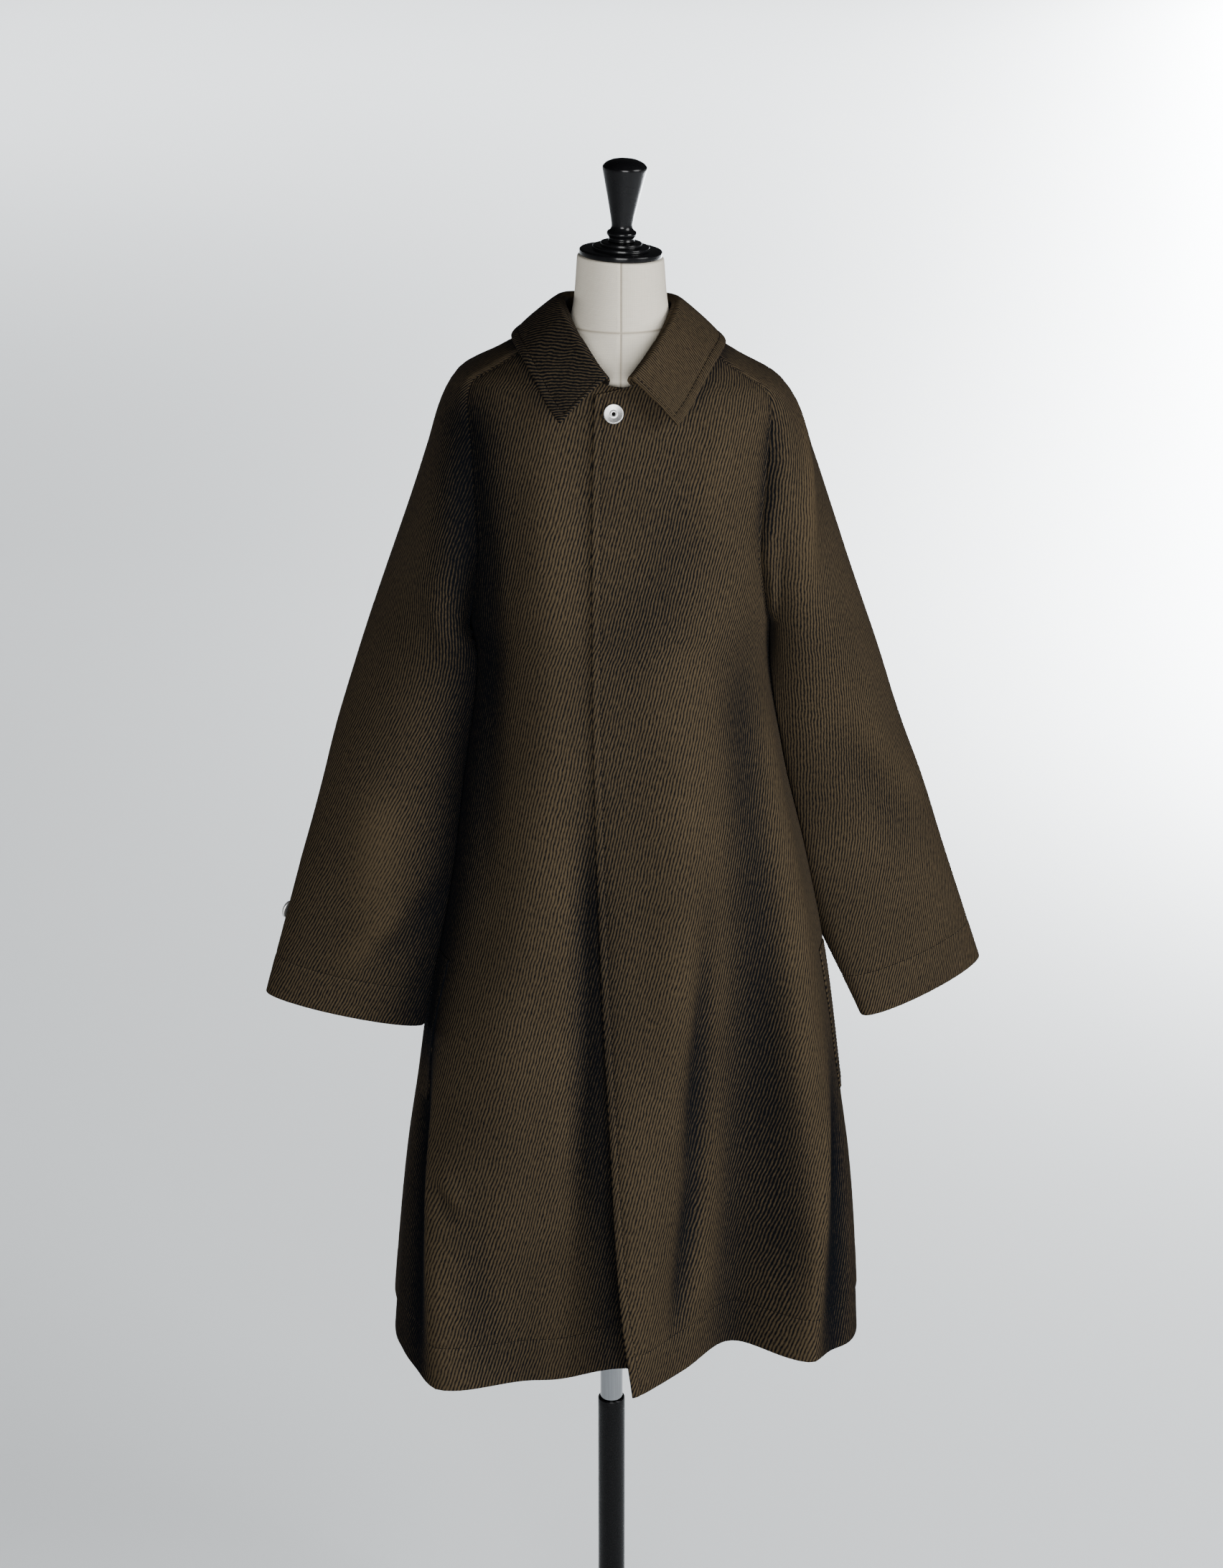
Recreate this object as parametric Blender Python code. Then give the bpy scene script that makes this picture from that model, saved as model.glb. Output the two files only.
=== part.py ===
"""Balmacaan coat on a limbless dress form, with the stand that carries the form.

Metres, +Z up. The origin is on the floor under the pole and the coat's front faces -Y.
Left and right are the wearer's own, so the wearer's left is +X.
"""

import math

import bmesh
import bpy
import numpy as np
from mathutils import Matrix, Vector


def table(columns, *rows):
    """The columns of a table by their names."""
    return dict(zip(columns.split(), np.array(rows).T))


# Cloth and seams
CLOTH = 0.0020  # one panel of the coat, wool and lining together
COLLAR_CLOTH = 0.0030  # the collar has canvas between its two layers
SEAM_GAP = 0.0004  # between panels that are sewn to each other
LAYER_GAP = 0.0012  # between a panel and what lies on it
WELT_CLOTH = 0.0018

# Heights of the coat
HEM = 0.490
UNDERARM = 1.280
NECK_FRONT = 1.555
NECK_TOP = 1.594
SKIRT_HEIGHTS = np.linspace(HEM, UNDERARM, 11)
YOKE_HEIGHTS = np.array(
    [1.300, 1.325, 1.360, 1.405, 1.455, 1.500, 1.532, NECK_FRONT, 1.563, 1.572, 1.582, NECK_TOP]
)
BODY_HEIGHTS = np.concatenate([SKIRT_HEIGHTS, YOKE_HEIGHTS])
NECK_ROWS = int(np.sum(BODY_HEIGHTS > NECK_FRONT))  # rows whose front end lies on the neckline

# Grid columns
FRONT_COLUMNS = 14
BACK_COLUMNS = 25
SLEEVE_COLUMNS = 22
SLEEVE_ROWS = 8  # cuff to underarm

# Plan of each front by height: how far its middle stands forward, half the width of the whole coat
# there, how square the curve is, how far forward its outer edge is cut (side seam up to the underarm,
# then armhole and shoulder seam), and where the coat's middle lies.
FRONT = table(
    "height reach width square cut middle",
    (0.490, 0.150, 0.2545, 2.8, 0.008, 0.015),
    (0.660, 0.152, 0.2425, 2.8, 0.006, 0.0172),
    (0.800, 0.153, 0.225, 2.8, 0.004, 0.0180),
    (0.940, 0.153, 0.206, 2.7, 0.002, 0.019),
    (1.030, 0.153, 0.190, 2.6, 0.000, 0.017),
    (1.160, 0.152, 0.166, 2.6, 0.000, 0.011),
    (1.280, 0.150, 0.153, 2.5, 0.000, 0.008),
    (1.330, 0.149, 0.157, 2.5, 0.066, 0.008),
    (1.400, 0.145, 0.169, 2.4, 0.092, 0.008),
    (1.480, 0.128, 0.177, 2.3, 0.080, 0.008),
    (1.525, 0.112, 0.173, 2.3, 0.062, 0.008),
    (1.555, 0.098, 0.160, 2.3, 0.046, 0.008),
    (1.575, 0.084, 0.130, 2.2, 0.042, 0.008),
    (1.607, 0.056, 0.068, 2.0, 0.022, 0.008),
)
# Plan of the back in the same way. Its outer edge is the side seam and then the raglan seam.
BACK = table(
    "height reach width square cut",
    (0.490, 0.205, 0.2545, 2.5, -0.008),
    (0.660, 0.196, 0.2425, 2.5, -0.006),
    (0.800, 0.188, 0.225, 2.5, -0.004),
    (0.940, 0.180, 0.206, 2.5, -0.002),
    (1.030, 0.175, 0.190, 2.5, 0.000),
    (1.160, 0.169, 0.166, 2.4, 0.000),
    (1.280, 0.164, 0.153, 2.3, 0.000),
    (1.330, 0.160, 0.159, 2.2, 0.058),
    (1.400, 0.151, 0.170, 2.2, 0.090),
    (1.480, 0.133, 0.176, 2.1, 0.102),
    (1.525, 0.118, 0.167, 2.1, 0.096),
    (1.555, 0.104, 0.146, 2.1, 0.085),
    (1.575, 0.092, 0.121, 2.0, 0.073),
    (1.607, 0.066, 0.067, 2.0, 0.046),
)
# Front edge of the left front, measured from the pole.
FRONT_EDGE = table(
    "height x",
    (0.490, 0.022),
    (0.580, 0.011),
    (0.670, 0.004),
    (0.760, -0.001),
    (0.895, -0.008),
    (1.117, -0.016),
    (1.295, -0.019),
    (1.440, -0.019),
    (1.555, -0.017),
)
UNDERLAP = 0.034  # the right front runs on this far under the left one
UNDERLAP_STEP = (0.033, 0.075)  # between these distances it steps in to pass under
NECKLINE = table("height x", (1.563, 0.012), (1.572, 0.030), (1.582, 0.048), (1.594, 0.066))

# Folds that open towards the hem: place across the panel (0 middle, 1 outer edge), half width,
# how far the hem swings out (in if negative), and the height where the fold dies out.
LEFT_FOLDS = table(
    "place width depth top",
    (-0.02, 0.20, 0.034, 0.95),
    (0.37, 0.26, -0.058, 1.28),
    (0.65, 0.18, 0.005, 1.22),
    (0.80, 0.16, 0.006, 0.95),
)
RIGHT_FOLDS = table(
    "place width depth top",
    (0.00, 0.30, -0.012, 1.00),
    (0.56, 0.28, 0.031, 1.05),
)
BACK_FOLDS = table(
    "place width depth top",
    (-0.74, 0.20, 0.016, 1.00),
    (-0.46, 0.18, -0.022, 1.05),
    (-0.18, 0.20, 0.020, 0.95),
    (0.10, 0.18, -0.020, 1.00),
    (0.36, 0.20, 0.022, 1.05),
    (0.60, 0.16, -0.016, 0.95),
    (0.80, 0.16, 0.012, 0.90),
)
HEM_DIP = 0.12  # share of a fold's swing by which the hem hangs lower there
HEM_TILT = 0.030  # rise of the hem towards the wearer's left
HEM_TILT_FROM = -0.15
HEM_TILT_TOP = 0.90
SHOULDER_LEAN = 0.070  # fall of the left shoulder, which hangs lower than the right
SHOULDER_LEAN_FROM = 0.03
SHOULDER_LEAN_HEIGHTS = (1.42, 1.54)
COAT_CORE = np.array([0.008, 0.0, 1.1])  # a point well inside the coat

# Sections of the sleeves: middle (outwards from the coat's middle, then back), half length and half
# breadth, turn of the long way from outwards to back, and rise of the section outwards. Above the
# underarm the sections are open towards the body.
SLEEVE_MIDDLE = 0.008
UNDERARM_X = 0.1545  # where the sleeve's inner seam meets the side of the body
UNDERARM_REACH = 0.12  # height over which that seam leaves the body
SLEEVE_CLEAR = 0.0036  # least distance between a sleeve and the side of the body
SLEEVE_CLEAR_WAY = 0.05  # share of the way round over which a sewn edge reaches that distance
SEAM_STEP = 0.4  # share of that distance kept at the foot of the armhole seams
SEAM_STEP_TOP = 1.40
RIGHT_SLEEVE = table(
    "height x y long short turn rise",
    (0.884, 0.289, -0.048, 0.0835, 0.024, 2, 12),
    (1.030, 0.2530, -0.052, 0.0810, 0.042, 8, 9),
    (1.160, 0.2270, -0.044, 0.0740, 0.050, 22, 4),
    (1.280, 0.2050, -0.032, 0.079, 0.046, 50, 0),
    (1.330, 0.1960, -0.022, 0.088, 0.045, 66, 0),
    (1.400, 0.172, -0.012, 0.094, 0.047, 78, 0),
    (1.480, 0.151, 0.002, 0.090, 0.043, 86, 0),
    (1.525, 0.1395, 0.008, 0.080, 0.041, 90, 0),
    (1.555, 0.125, 0.012, 0.068, 0.038, 95, 0),
    (1.575, 0.093, 0.014, 0.056, 0.033, 100, 0),
    (1.607, 0.047, 0.012, 0.038, 0.021, 100, 0),
)
LEFT_SLEEVE = table(
    "height x y long short turn rise",
    (0.855, 0.3305, 0.078, 0.084, 0.024, 37, 12),
    (1.030, 0.262, 0.088, 0.089, 0.051, 32, 9),
    (1.160, 0.230, 0.060, 0.089, 0.0545, 50, 4),
    (1.280, 0.2025, 0.022, 0.089, 0.0555, 72, 0),
    (1.330, 0.194, 0.012, 0.091, 0.047, 80, 0),
    (1.400, 0.1745, 0.001, 0.092, 0.046, 82, 0),
    (1.480, 0.153, 0.004, 0.090, 0.043, 88, 0),
    (1.525, 0.142, 0.008, 0.080, 0.041, 90, 0),
    (1.555, 0.126, 0.012, 0.068, 0.038, 95, 0),
    (1.575, 0.093, 0.014, 0.056, 0.033, 100, 0),
    (1.607, 0.047, 0.012, 0.038, 0.021, 100, 0),
)

# Collar from its front end (0) to the middle of the back (1): the roll line on top and the outer edge
# of the leaf, both outwards from the collar's middle.
COLLAR_MIDDLE = 0.007
COLLAR = table(
    "height roll_x roll_y roll_z edge_x edge_y edge_z",
    (0.00, 0.012, -0.104, 1.573, 0.057, -0.124, 1.533),
    (0.14, 0.027, -0.089, 1.588, 0.069, -0.109, 1.547),
    (0.29, 0.042, -0.064, 1.605, 0.081, -0.091, 1.566),
    (0.44, 0.0545, -0.033, 1.620, 0.096, -0.058, 1.586),
    (0.58, 0.0605, 0.004, 1.629, 0.106, -0.010, 1.594),
    (0.78, 0.051, 0.046, 1.626, 0.087, 0.078, 1.584),
    (1.00, 0.000, 0.068, 1.621, 0.000, 0.113, 1.557),
)
COLLAR_ROLL = 0.0042  # half the distance between stand and leaf at the roll
COLLAR_STEPS = 12
COLLAR_FOOT = 0.0010  # between the neckline and the foot of the collar
COLLAR_DROP = (0.006, 0.45)  # depth of the roll, at most this far and this share of the stand
COLLAR_BULGE = (0.0012, 0.0010)  # of the leaf, up and outwards

# Slanted welts of the side pockets, on both fronts
WELT_HEIGHTS = np.linspace(0.785, 0.955, 8)
# forward edge of each welt across its panel, at the foot and at the top; 1 is the left side
WELT_PLACE = {1: (0.88, 0.80), -1: (0.80, 0.70)}
WELT_WIDTH = 0.030
WELT_COLUMNS = 4

# Buttons
NECK_BUTTON_PLACE = (0.002, 1.538)  # across from the pole, and height
CUFF_BUTTON_HEIGHT = 0.975
CUFF_BUTTON_TURN = {1: 0.55, -1: 0.69}  # way round each sleeve from its inner seam, past the front
BUTTON_PATCH = 0.006  # half size of the cloth that a button is laid on
NECK_BUTTON = (
    (0.0000, 0.0000), (0.0092, 0.0000), (0.0098, 0.0008), (0.0098, 0.0022), (0.0090, 0.0030),
    (0.0078, 0.0028), (0.0034, 0.0019), (0.0013, 0.0018), (0.0011, 0.0010), (0.0000, 0.0010),
)
CUFF_BUTTON = (
    (0.0000, 0.0000), (0.0094, 0.0000), (0.0100, 0.0010), (0.0100, 0.0026), (0.0088, 0.0034),
    (0.0070, 0.0028), (0.0000, 0.0026),
)

# Dress form: half width, how far it stands forward and back
FORM_MIDDLE = 0.009
FORM_COLUMNS = 28
FORM = table(
    "height width front back",
    (0.860, 0.138, 0.090, 0.104),
    (0.900, 0.150, 0.104, 0.118),
    (0.960, 0.153, 0.111, 0.124),
    (1.050, 0.138, 0.105, 0.112),
    (1.150, 0.117, 0.097, 0.094),
    (1.250, 0.128, 0.114, 0.104),
    (1.330, 0.136, 0.126, 0.114),
    (1.420, 0.137, 0.116, 0.117),
    (1.490, 0.146, 0.096, 0.107),
    (1.530, 0.141, 0.088, 0.091),
    (1.560, 0.115, 0.078, 0.074),
    (1.585, 0.078, 0.063, 0.059),
    (1.605, 0.054, 0.053, 0.051),
    (1.625, 0.047, 0.046, 0.047),
    (1.672, 0.043, 0.043, 0.044),
)
FORM_HEIGHTS = np.array(
    [0.860, 0.900, 0.960, 1.050, 1.150, 1.250, 1.330, 1.390, 1.450, 1.490, 1.515, 1.535, 1.552, 1.568,
     1.582, 1.595, 1.608, 1.625, 1.648, 1.672]
)
CAP_TILT = math.radians(2.7)  # the neck's cap leans down to the wearer's left
NECK_LEAN_FROM = 1.61
CAP = (
    (0.0000, 0.0000), (0.0402, 0.0000), (0.0412, 0.0012), (0.0412, 0.0052), (0.0400, 0.0064),
    (0.0290, 0.0066), (0.0284, 0.0074), (0.0284, 0.0094), (0.0274, 0.0102), (0.0212, 0.0104),
    (0.0207, 0.0110), (0.0207, 0.0130), (0.0198, 0.0138), (0.0000, 0.0138),
)
FINIAL = (
    (0.0000, 0.0000), (0.0134, 0.0000), (0.0124, 0.0028), (0.0128, 0.0046), (0.0146, 0.0062),
    (0.0150, 0.0080), (0.0144, 0.0098), (0.0118, 0.0112), (0.0106, 0.0140), (0.0106, 0.0168),
    (0.0118, 0.0240), (0.0156, 0.0420), (0.0210, 0.0660), (0.0222, 0.0712), (0.0220, 0.0734),
    (0.0190, 0.0768), (0.0130, 0.0796), (0.0066, 0.0808), (0.0000, 0.0812),
)

# Stand: a pole that slides in a tube on a round base
PART_GAP = 0.0004
POLE_RADIUS = 0.0125
POLE_FOOT = 0.165
TUBE_RADIUS = 0.0150
TUBE_BORE = 0.0130
TUBE_TOP = 0.386
BASE_TOP = 0.022
BASE = (
    (0.0000, 0.0000), (0.1760, 0.0000), (0.1800, 0.0020), (0.1800, 0.0080), (0.1770, 0.0112),
    (0.1700, 0.0126), (0.0400, 0.0170), (0.0260, 0.0184), (0.0230, BASE_TOP), (0.0000, BASE_TOP),
)
TURNED_STEPS = 24
TUBE_LIP = 0.0006
SHARP_EDGE = math.radians(35)

# Colours as linear red, green, blue, then roughness and metal
WOOL = (0.030, 0.024, 0.017, 0.85, 0.0)
SILVER_METAL = (0.62, 0.62, 0.62, 0.30, 1.0)
LINEN = (0.66, 0.64, 0.59, 0.90, 0.0)
BLACK_WOOD = (0.012, 0.011, 0.010, 0.18, 0.0)
CHROME = (0.70, 0.70, 0.70, 0.12, 1.0)
BLACK_PAINT = (0.014, 0.014, 0.014, 0.45, 0.0)


def at(rows, column, height):
    """A column's value at a height, on a smooth line that never overshoots its rows."""
    known, value = rows["height"], rows[column]
    step = np.diff(known)
    rise = np.diff(value) / step
    product = rise[:-1] * rise[1:]
    total = np.where(product > 0, rise[:-1] + rise[1:], 1.0)
    slope = np.concatenate([rise[:1], np.where(product > 0, 2 * product / total, 0.0), rise[-1:]])
    height = np.clip(height, known[0], known[-1])
    k = np.clip(np.searchsorted(known, height) - 1, 0, len(step) - 1)
    t = (height - known[k]) / step[k]
    start = value[k] * (1 + 2 * t) * (1 - t) ** 2 + value[k + 1] * t * t * (3 - 2 * t)
    return start + step[k] * t * (1 - t) * (slope[k] * (1 - t) - slope[k + 1] * t)


def ease(t):
    """0 to 1 with a soft start and a soft end."""
    t = np.clip(t, 0.0, 1.0)
    return t * t * (3 - 2 * t)


def swing(folds, place, height):
    """How far the folds push the cloth out at places across a panel."""
    out = np.zeros(len(place))
    for middle, width, depth, top in zip(*(folds[c] for c in ("place", "width", "depth", "top"))):
        near = np.clip(np.abs(place - middle) / width, 0.0, 1.0)
        out += depth * np.cos(near * math.pi / 2) ** 2 * ease((top - height) / (top - HEM))
    return out


def lift(x, height):
    """How far the cloth lies above its level plan, at the hem and on the left shoulder."""
    hem = HEM_TILT * (x - HEM_TILT_FROM) * ease((HEM_TILT_TOP - height) / (HEM_TILT_TOP - HEM))
    low, high = SHOULDER_LEAN_HEIGHTS
    shoulder = SHOULDER_LEAN * np.maximum(x - SHOULDER_LEAN_FROM, 0.0) * ease((height - low) / (high - low))
    return hem - shoulder


def plan_curve(rows, height):
    """Points from the middle of a panel to its outer edge, with their distance along it."""
    reach, width, square, cut = (at(rows, c, height) for c in ("reach", "width", "square", "cut"))
    end = math.acos(math.copysign(abs(cut / reach) ** (square / 2), cut))
    angle = np.linspace(0.0, end, 361)
    x = width * np.sin(angle) ** (2 / square)
    y = reach * np.sign(np.cos(angle)) * np.abs(np.cos(angle)) ** (2 / square)
    along = np.concatenate([[0.0], np.cumsum(np.hypot(np.diff(x), np.diff(y)))])
    return x, y, along


def across(curve, along):
    """Points and outward directions at distances from the middle, on either side of it."""
    x, y, known = curve
    side = np.where(along < 0, -1.0, 1.0)
    far = np.abs(along)
    px, py = np.interp(far, known, x), np.interp(far, known, y)
    ahead = np.clip(far + 0.004, 0.0, known[-1])
    behind = ahead - 0.008
    mirrored = np.abs(behind)
    dx = np.interp(ahead, known, x) - np.sign(behind) * np.interp(mirrored, known, x)
    dy = np.interp(ahead, known, y) - np.interp(mirrored, known, y)
    size = np.hypot(dx, dy)
    return side * px, py, side * -dy / size, dx / size


def front_row(side, height, along):
    """One row of a front at distances from the coat's middle. Side is 1 for the left front."""
    curve = plan_curve(FRONT, height)
    x, y, out_x, out_y = across(curve, along)
    out = swing(LEFT_FOLDS if side > 0 else RIGHT_FOLDS, along / curve[2][-1], height)
    dip = HEM_DIP * out
    if side < 0:
        full, none = UNDERLAP_STEP
        out = out - (CLOTH + LAYER_GAP) * ease((none - along) / (none - full))
    x = at(FRONT, "middle", height) + side * (x + out * out_x)
    return np.stack([x, -(y + out * out_y), height - dip + lift(x, height)], axis=1)


def front_start(side, height):
    """Distance from the coat's middle at which a row of a front starts."""
    if height > NECK_FRONT:
        x, _, along = plan_curve(FRONT, height)
        return np.interp(at(NECKLINE, "x", height), x, along)
    if side < 0:
        return -UNDERLAP
    return at(FRONT_EDGE, "x", height) - at(FRONT, "middle", height)


def front_grid(side):
    rows = []
    for height in BODY_HEIGHTS:
        end = plan_curve(FRONT, height)[2][-1] - SEAM_GAP / 2
        rows.append(front_row(side, height, np.linspace(front_start(side, height), end, FRONT_COLUMNS)))
    return np.array(rows)


def back_row(height, along):
    """One row of the back at distances from its middle."""
    curve = plan_curve(BACK, height)
    x, y, out_x, out_y = across(curve, along)
    out = swing(BACK_FOLDS, along / curve[2][-1], height)
    x = at(FRONT, "middle", height) + x + out * out_x
    return np.stack([x, y + out * out_y, height - HEM_DIP * out + lift(x, height)], axis=1)


def back_grid():
    """Rows of the back from the right edge to the left edge."""
    rows = []
    for height in BODY_HEIGHTS:
        end = plan_curve(BACK, height)[2][-1] - SEAM_GAP / 2
        rows.append(back_row(height, np.linspace(-end, end, BACK_COLUMNS)))
    return np.array(rows)


def sleeve_row(side, height, way):
    """One row of a sleeve, from the inner seam over the front, the outside and the back."""
    rows = LEFT_SLEEVE if side > 0 else RIGHT_SLEEVE
    x, y, long, short = (at(rows, c, height) for c in ("x", "y", "long", "short"))
    turn, rise = (math.radians(at(rows, c, height)) for c in ("turn", "rise"))
    cos, sin = math.cos(turn), math.sin(turn)

    def angle_of(out, back):
        return math.atan2((back * cos - out * sin) / short, (out * cos + back * sin) / long)

    seam = angle_of(UNDERARM_X - x, -y)
    gap = SEAM_GAP / math.hypot(long * math.sin(seam), short * math.cos(seam))
    start, end = seam + gap / 2, seam + 2 * math.pi - gap / 2
    hold = ease(1 - (UNDERARM - height) / UNDERARM_REACH)
    front = rear = np.array([SLEEVE_MIDDLE + side * UNDERARM_X, 0.0, height])
    if height > UNDERARM:
        front = front_row(side, height, plan_curve(FRONT, height)[2][-1:])[0]
        rear = back_row(height, side * plan_curve(BACK, height)[2][-1:])[0]
        start = angle_of(side * (front[0] - SLEEVE_MIDDLE) - x, front[1] - y)
        end = angle_of(side * (rear[0] - SLEEVE_MIDDLE) - x, rear[1] - y)
        end = start + (end - start) % (2 * math.pi)
    angle = start + way * (end - start)
    ahead, aside = long * np.cos(angle), short * np.sin(angle)
    out, back = ahead * cos - aside * sin, ahead * sin + aside * cos
    points = np.stack([SLEEVE_MIDDLE + side * (x + out), y + back, height + out * math.tan(rise)], axis=1)
    to_front, to_rear = hold * (front - points[0]), hold * (rear - points[-1])
    to_front[2] = to_rear[2] = 0.0
    points = points + np.outer((1 - way) ** 4, to_front) + np.outer(way**4, to_rear)
    near = 1.0
    if height > UNDERARM:
        near = ease(np.minimum(way, 1 - way) / SLEEVE_CLEAR_WAY)
        near = np.maximum(near, SEAM_STEP * ease((SEAM_STEP_TOP - height) / (SEAM_STEP_TOP - UNDERARM)))
    points = clear_of_body(points, SLEEVE_CLEAR * near)
    if height > UNDERARM:
        points[:, 2] += lift(points[:, 0], height)
    points[0] += SEAM_GAP / 2 * unit(points[1] - points[0])
    points[-1] += SEAM_GAP / 2 * unit(points[-2] - points[-1])
    return points


def clear_of_body(points, gap):
    """Moves points of a sleeve that would lie inside the body out to its side."""
    height = points[:, 2]
    middle = at(FRONT, "middle", height)
    x, y = points[:, 0] - middle, points[:, 1]
    width, reach, square = (
        np.where(y < 0, at(FRONT, c, height), at(BACK, c, height)) for c in ("width", "reach", "square")
    )
    level = (np.abs(x) / (width + gap)) ** square + (np.abs(y) / (reach + gap)) ** square
    push = np.maximum(level ** (-1 / square), 1.0)
    return np.stack([middle + x * push, y * push, height], axis=1)


def sleeve_heights(side):
    cuff = (LEFT_SLEEVE if side > 0 else RIGHT_SLEEVE)["height"][0]
    return np.concatenate([np.linspace(cuff, UNDERARM, SLEEVE_ROWS), YOKE_HEIGHTS])


def sleeve_grid(side):
    way = np.linspace(0.0, 1.0, SLEEVE_COLUMNS)
    return np.array([sleeve_row(side, height, way) for height in sleeve_heights(side)])


def unit(v):
    return v / np.linalg.norm(v, axis=-1, keepdims=True)


def outward(grid, inside):
    """Normals of a grid of points, turned away from the points in inside."""
    normals = unit(np.cross(np.gradient(grid, axis=1), np.gradient(grid, axis=0)))
    wrong = np.sum(normals * (grid - inside)) < 0
    return -normals if wrong else normals


def share_normals(first, second):
    """Gives two sewn edges the same normals, so that their walls stay side by side."""
    mean = unit(first + second)
    first[:] = mean
    second[:] = mean


def material(name, red, green, blue, rough, metal):
    made = bpy.data.materials.new(name)
    made.use_nodes = True
    shader = made.node_tree.nodes["Principled BSDF"]
    shader.inputs["Base Color"].default_value = (red, green, blue, 1.0)
    shader.inputs["Roughness"].default_value = rough
    shader.inputs["Metallic"].default_value = metal
    return made


def add_object(name, bm, look):
    bmesh.ops.recalc_face_normals(bm, faces=bm.faces)
    mesh = bpy.data.meshes.new(name)
    bm.to_mesh(mesh)
    bm.free()
    mesh.shade_smooth()
    mesh.set_sharp_from_angle(angle=SHARP_EDGE)
    mesh.materials.append(material(name, *look))
    made = bpy.data.objects.new(name, mesh)
    bpy.context.collection.objects.link(made)
    return made


def shell(name, outer, inner, look):
    """A closed wall between two grids of points."""
    rows, columns = outer.shape[:2]
    bm = bmesh.new()
    top = [[bm.verts.new(p) for p in row] for row in outer]
    under = [[bm.verts.new(p) for p in row] for row in inner]
    for i in range(rows - 1):
        for j in range(columns - 1):
            bm.faces.new((top[i][j], top[i][j + 1], top[i + 1][j + 1], top[i + 1][j]))
            bm.faces.new((under[i][j], under[i + 1][j], under[i + 1][j + 1], under[i][j + 1]))
    rim = [(0, j) for j in range(columns)]
    rim += [(i, columns - 1) for i in range(1, rows)]
    rim += [(rows - 1, j) for j in range(columns - 2, -1, -1)]
    rim += [(i, 0) for i in range(rows - 2, 0, -1)]
    for (a, b), (c, d) in zip(rim, rim[1:] + rim[:1]):
        bm.faces.new((top[a][b], under[a][b], under[c][d], top[c][d]))
    return add_object(name, bm, look)


def turned(name, profile, look, loop=False):
    """A piece turned about its own Z axis from radii and heights."""
    bm = bmesh.new()
    points = [bm.verts.new((radius, 0.0, height)) for radius, height in profile]
    pairs = list(zip(points, points[1:])) + ([(points[-1], points[0])] if loop else [])
    edges = [bm.edges.new(pair) for pair in pairs]
    bmesh.ops.spin(
        bm,
        geom=points + edges,
        cent=(0, 0, 0),
        axis=(0, 0, 1),
        angle=2 * math.pi,
        steps=TURNED_STEPS,
        use_merge=True,
    )
    bmesh.ops.remove_doubles(bm, verts=bm.verts, dist=1e-6)
    return add_object(name, bm, look)


def place_on(made, point, direction, gap):
    """Stands a turned piece on a surface, a gap clear of it."""
    turn = Vector((0, 0, 1)).rotation_difference(Vector(direction)).to_matrix().to_4x4()
    made.matrix_world = Matrix.Translation(Vector(point) + gap * Vector(direction)) @ turn


def collar_grids(neck):
    """Both faces of the collar from the points of the neckline, right front end to left front end."""
    along = np.concatenate([[0.0], np.cumsum(np.linalg.norm(np.diff(neck, axis=0), axis=1))])
    half = 1 - np.abs(2 * along / along[-1] - 1)
    side = np.where(along < along[-1] / 2, -1.0, 1.0)
    columns = {c: at(COLLAR, c, half) for c in COLLAR if c != "height"}
    roll, edge = (
        np.stack([COLLAR_MIDDLE + side * columns[c + "_x"], columns[c + "_y"], columns[c + "_z"]], axis=1)
        for c in ("roll", "edge")
    )
    for line in (roll, edge):
        line[:, 2] += lift(line[:, 0], NECK_TOP)
    run = np.gradient(roll, axis=0)
    out = unit(np.stack([-run[:, 1], run[:, 0], 0 * run[:, 0]], axis=1))
    out *= np.sign(np.sum(out * (edge - roll), axis=1))[:, None]
    up = np.array([0.0, 0.0, 1.0])
    foot = neck + COLLAR_FOOT * up
    spread = COLLAR_ROLL * out
    most, share = COLLAR_DROP
    drop = np.minimum(most, share * (roll - foot)[:, 2])[:, None] * up
    leaf = edge - roll
    bulge = COLLAR_BULGE[0] * up + COLLAR_BULGE[1] * out
    knots = np.array([
        foot,
        roll - spread - drop,
        roll - 0.72 * spread - 0.25 * drop,
        roll,
        roll + 0.8 * spread - 0.25 * drop,
        roll + 0.22 * leaf + bulge,
        roll + 0.60 * leaf + bulge,
        edge,
    ])
    steps = np.linspace(0, len(knots) - 1, COLLAR_STEPS)
    line = np.array([spline(knots, s) for s in steps])
    grid = np.swapaxes(line, 0, 1)
    normals = unit(np.cross(np.gradient(grid, axis=0), np.gradient(grid, axis=1)))
    return grid + COLLAR_CLOTH / 2 * normals, grid - COLLAR_CLOTH / 2 * normals


def spline(knots, s):
    """A point on the smooth line through the knots."""
    k = min(int(s), len(knots) - 2)
    t = s - k
    before, after = knots[max(k - 1, 0)], knots[min(k + 2, len(knots) - 1)]
    a, b = knots[k], knots[k + 1]
    bend = 2 * before - 5 * a + 4 * b - after
    twist = 3 * a - before - 3 * b + after
    return a + 0.5 * (b - before) * t + 0.5 * bend * t**2 + 0.5 * twist * t**3


def welt(side, name):
    """A pocket's slanted welt, made from points of the front and moved out from it."""
    rows = []
    for height in WELT_HEIGHTS:
        share = (height - WELT_HEIGHTS[0]) / (WELT_HEIGHTS[-1] - WELT_HEIGHTS[0])
        foot, top = WELT_PLACE[side]
        place = foot + share * (top - foot)
        start = place * plan_curve(FRONT, height)[2][-1]
        rows.append(front_row(side, height, start + np.linspace(0.0, WELT_WIDTH, WELT_COLUMNS)))
    grid = np.array(rows)
    normals = outward(grid, COAT_CORE)
    shell(name, grid + (LAYER_GAP + WELT_CLOTH) * normals, grid + LAYER_GAP * normals, WOOL)


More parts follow.
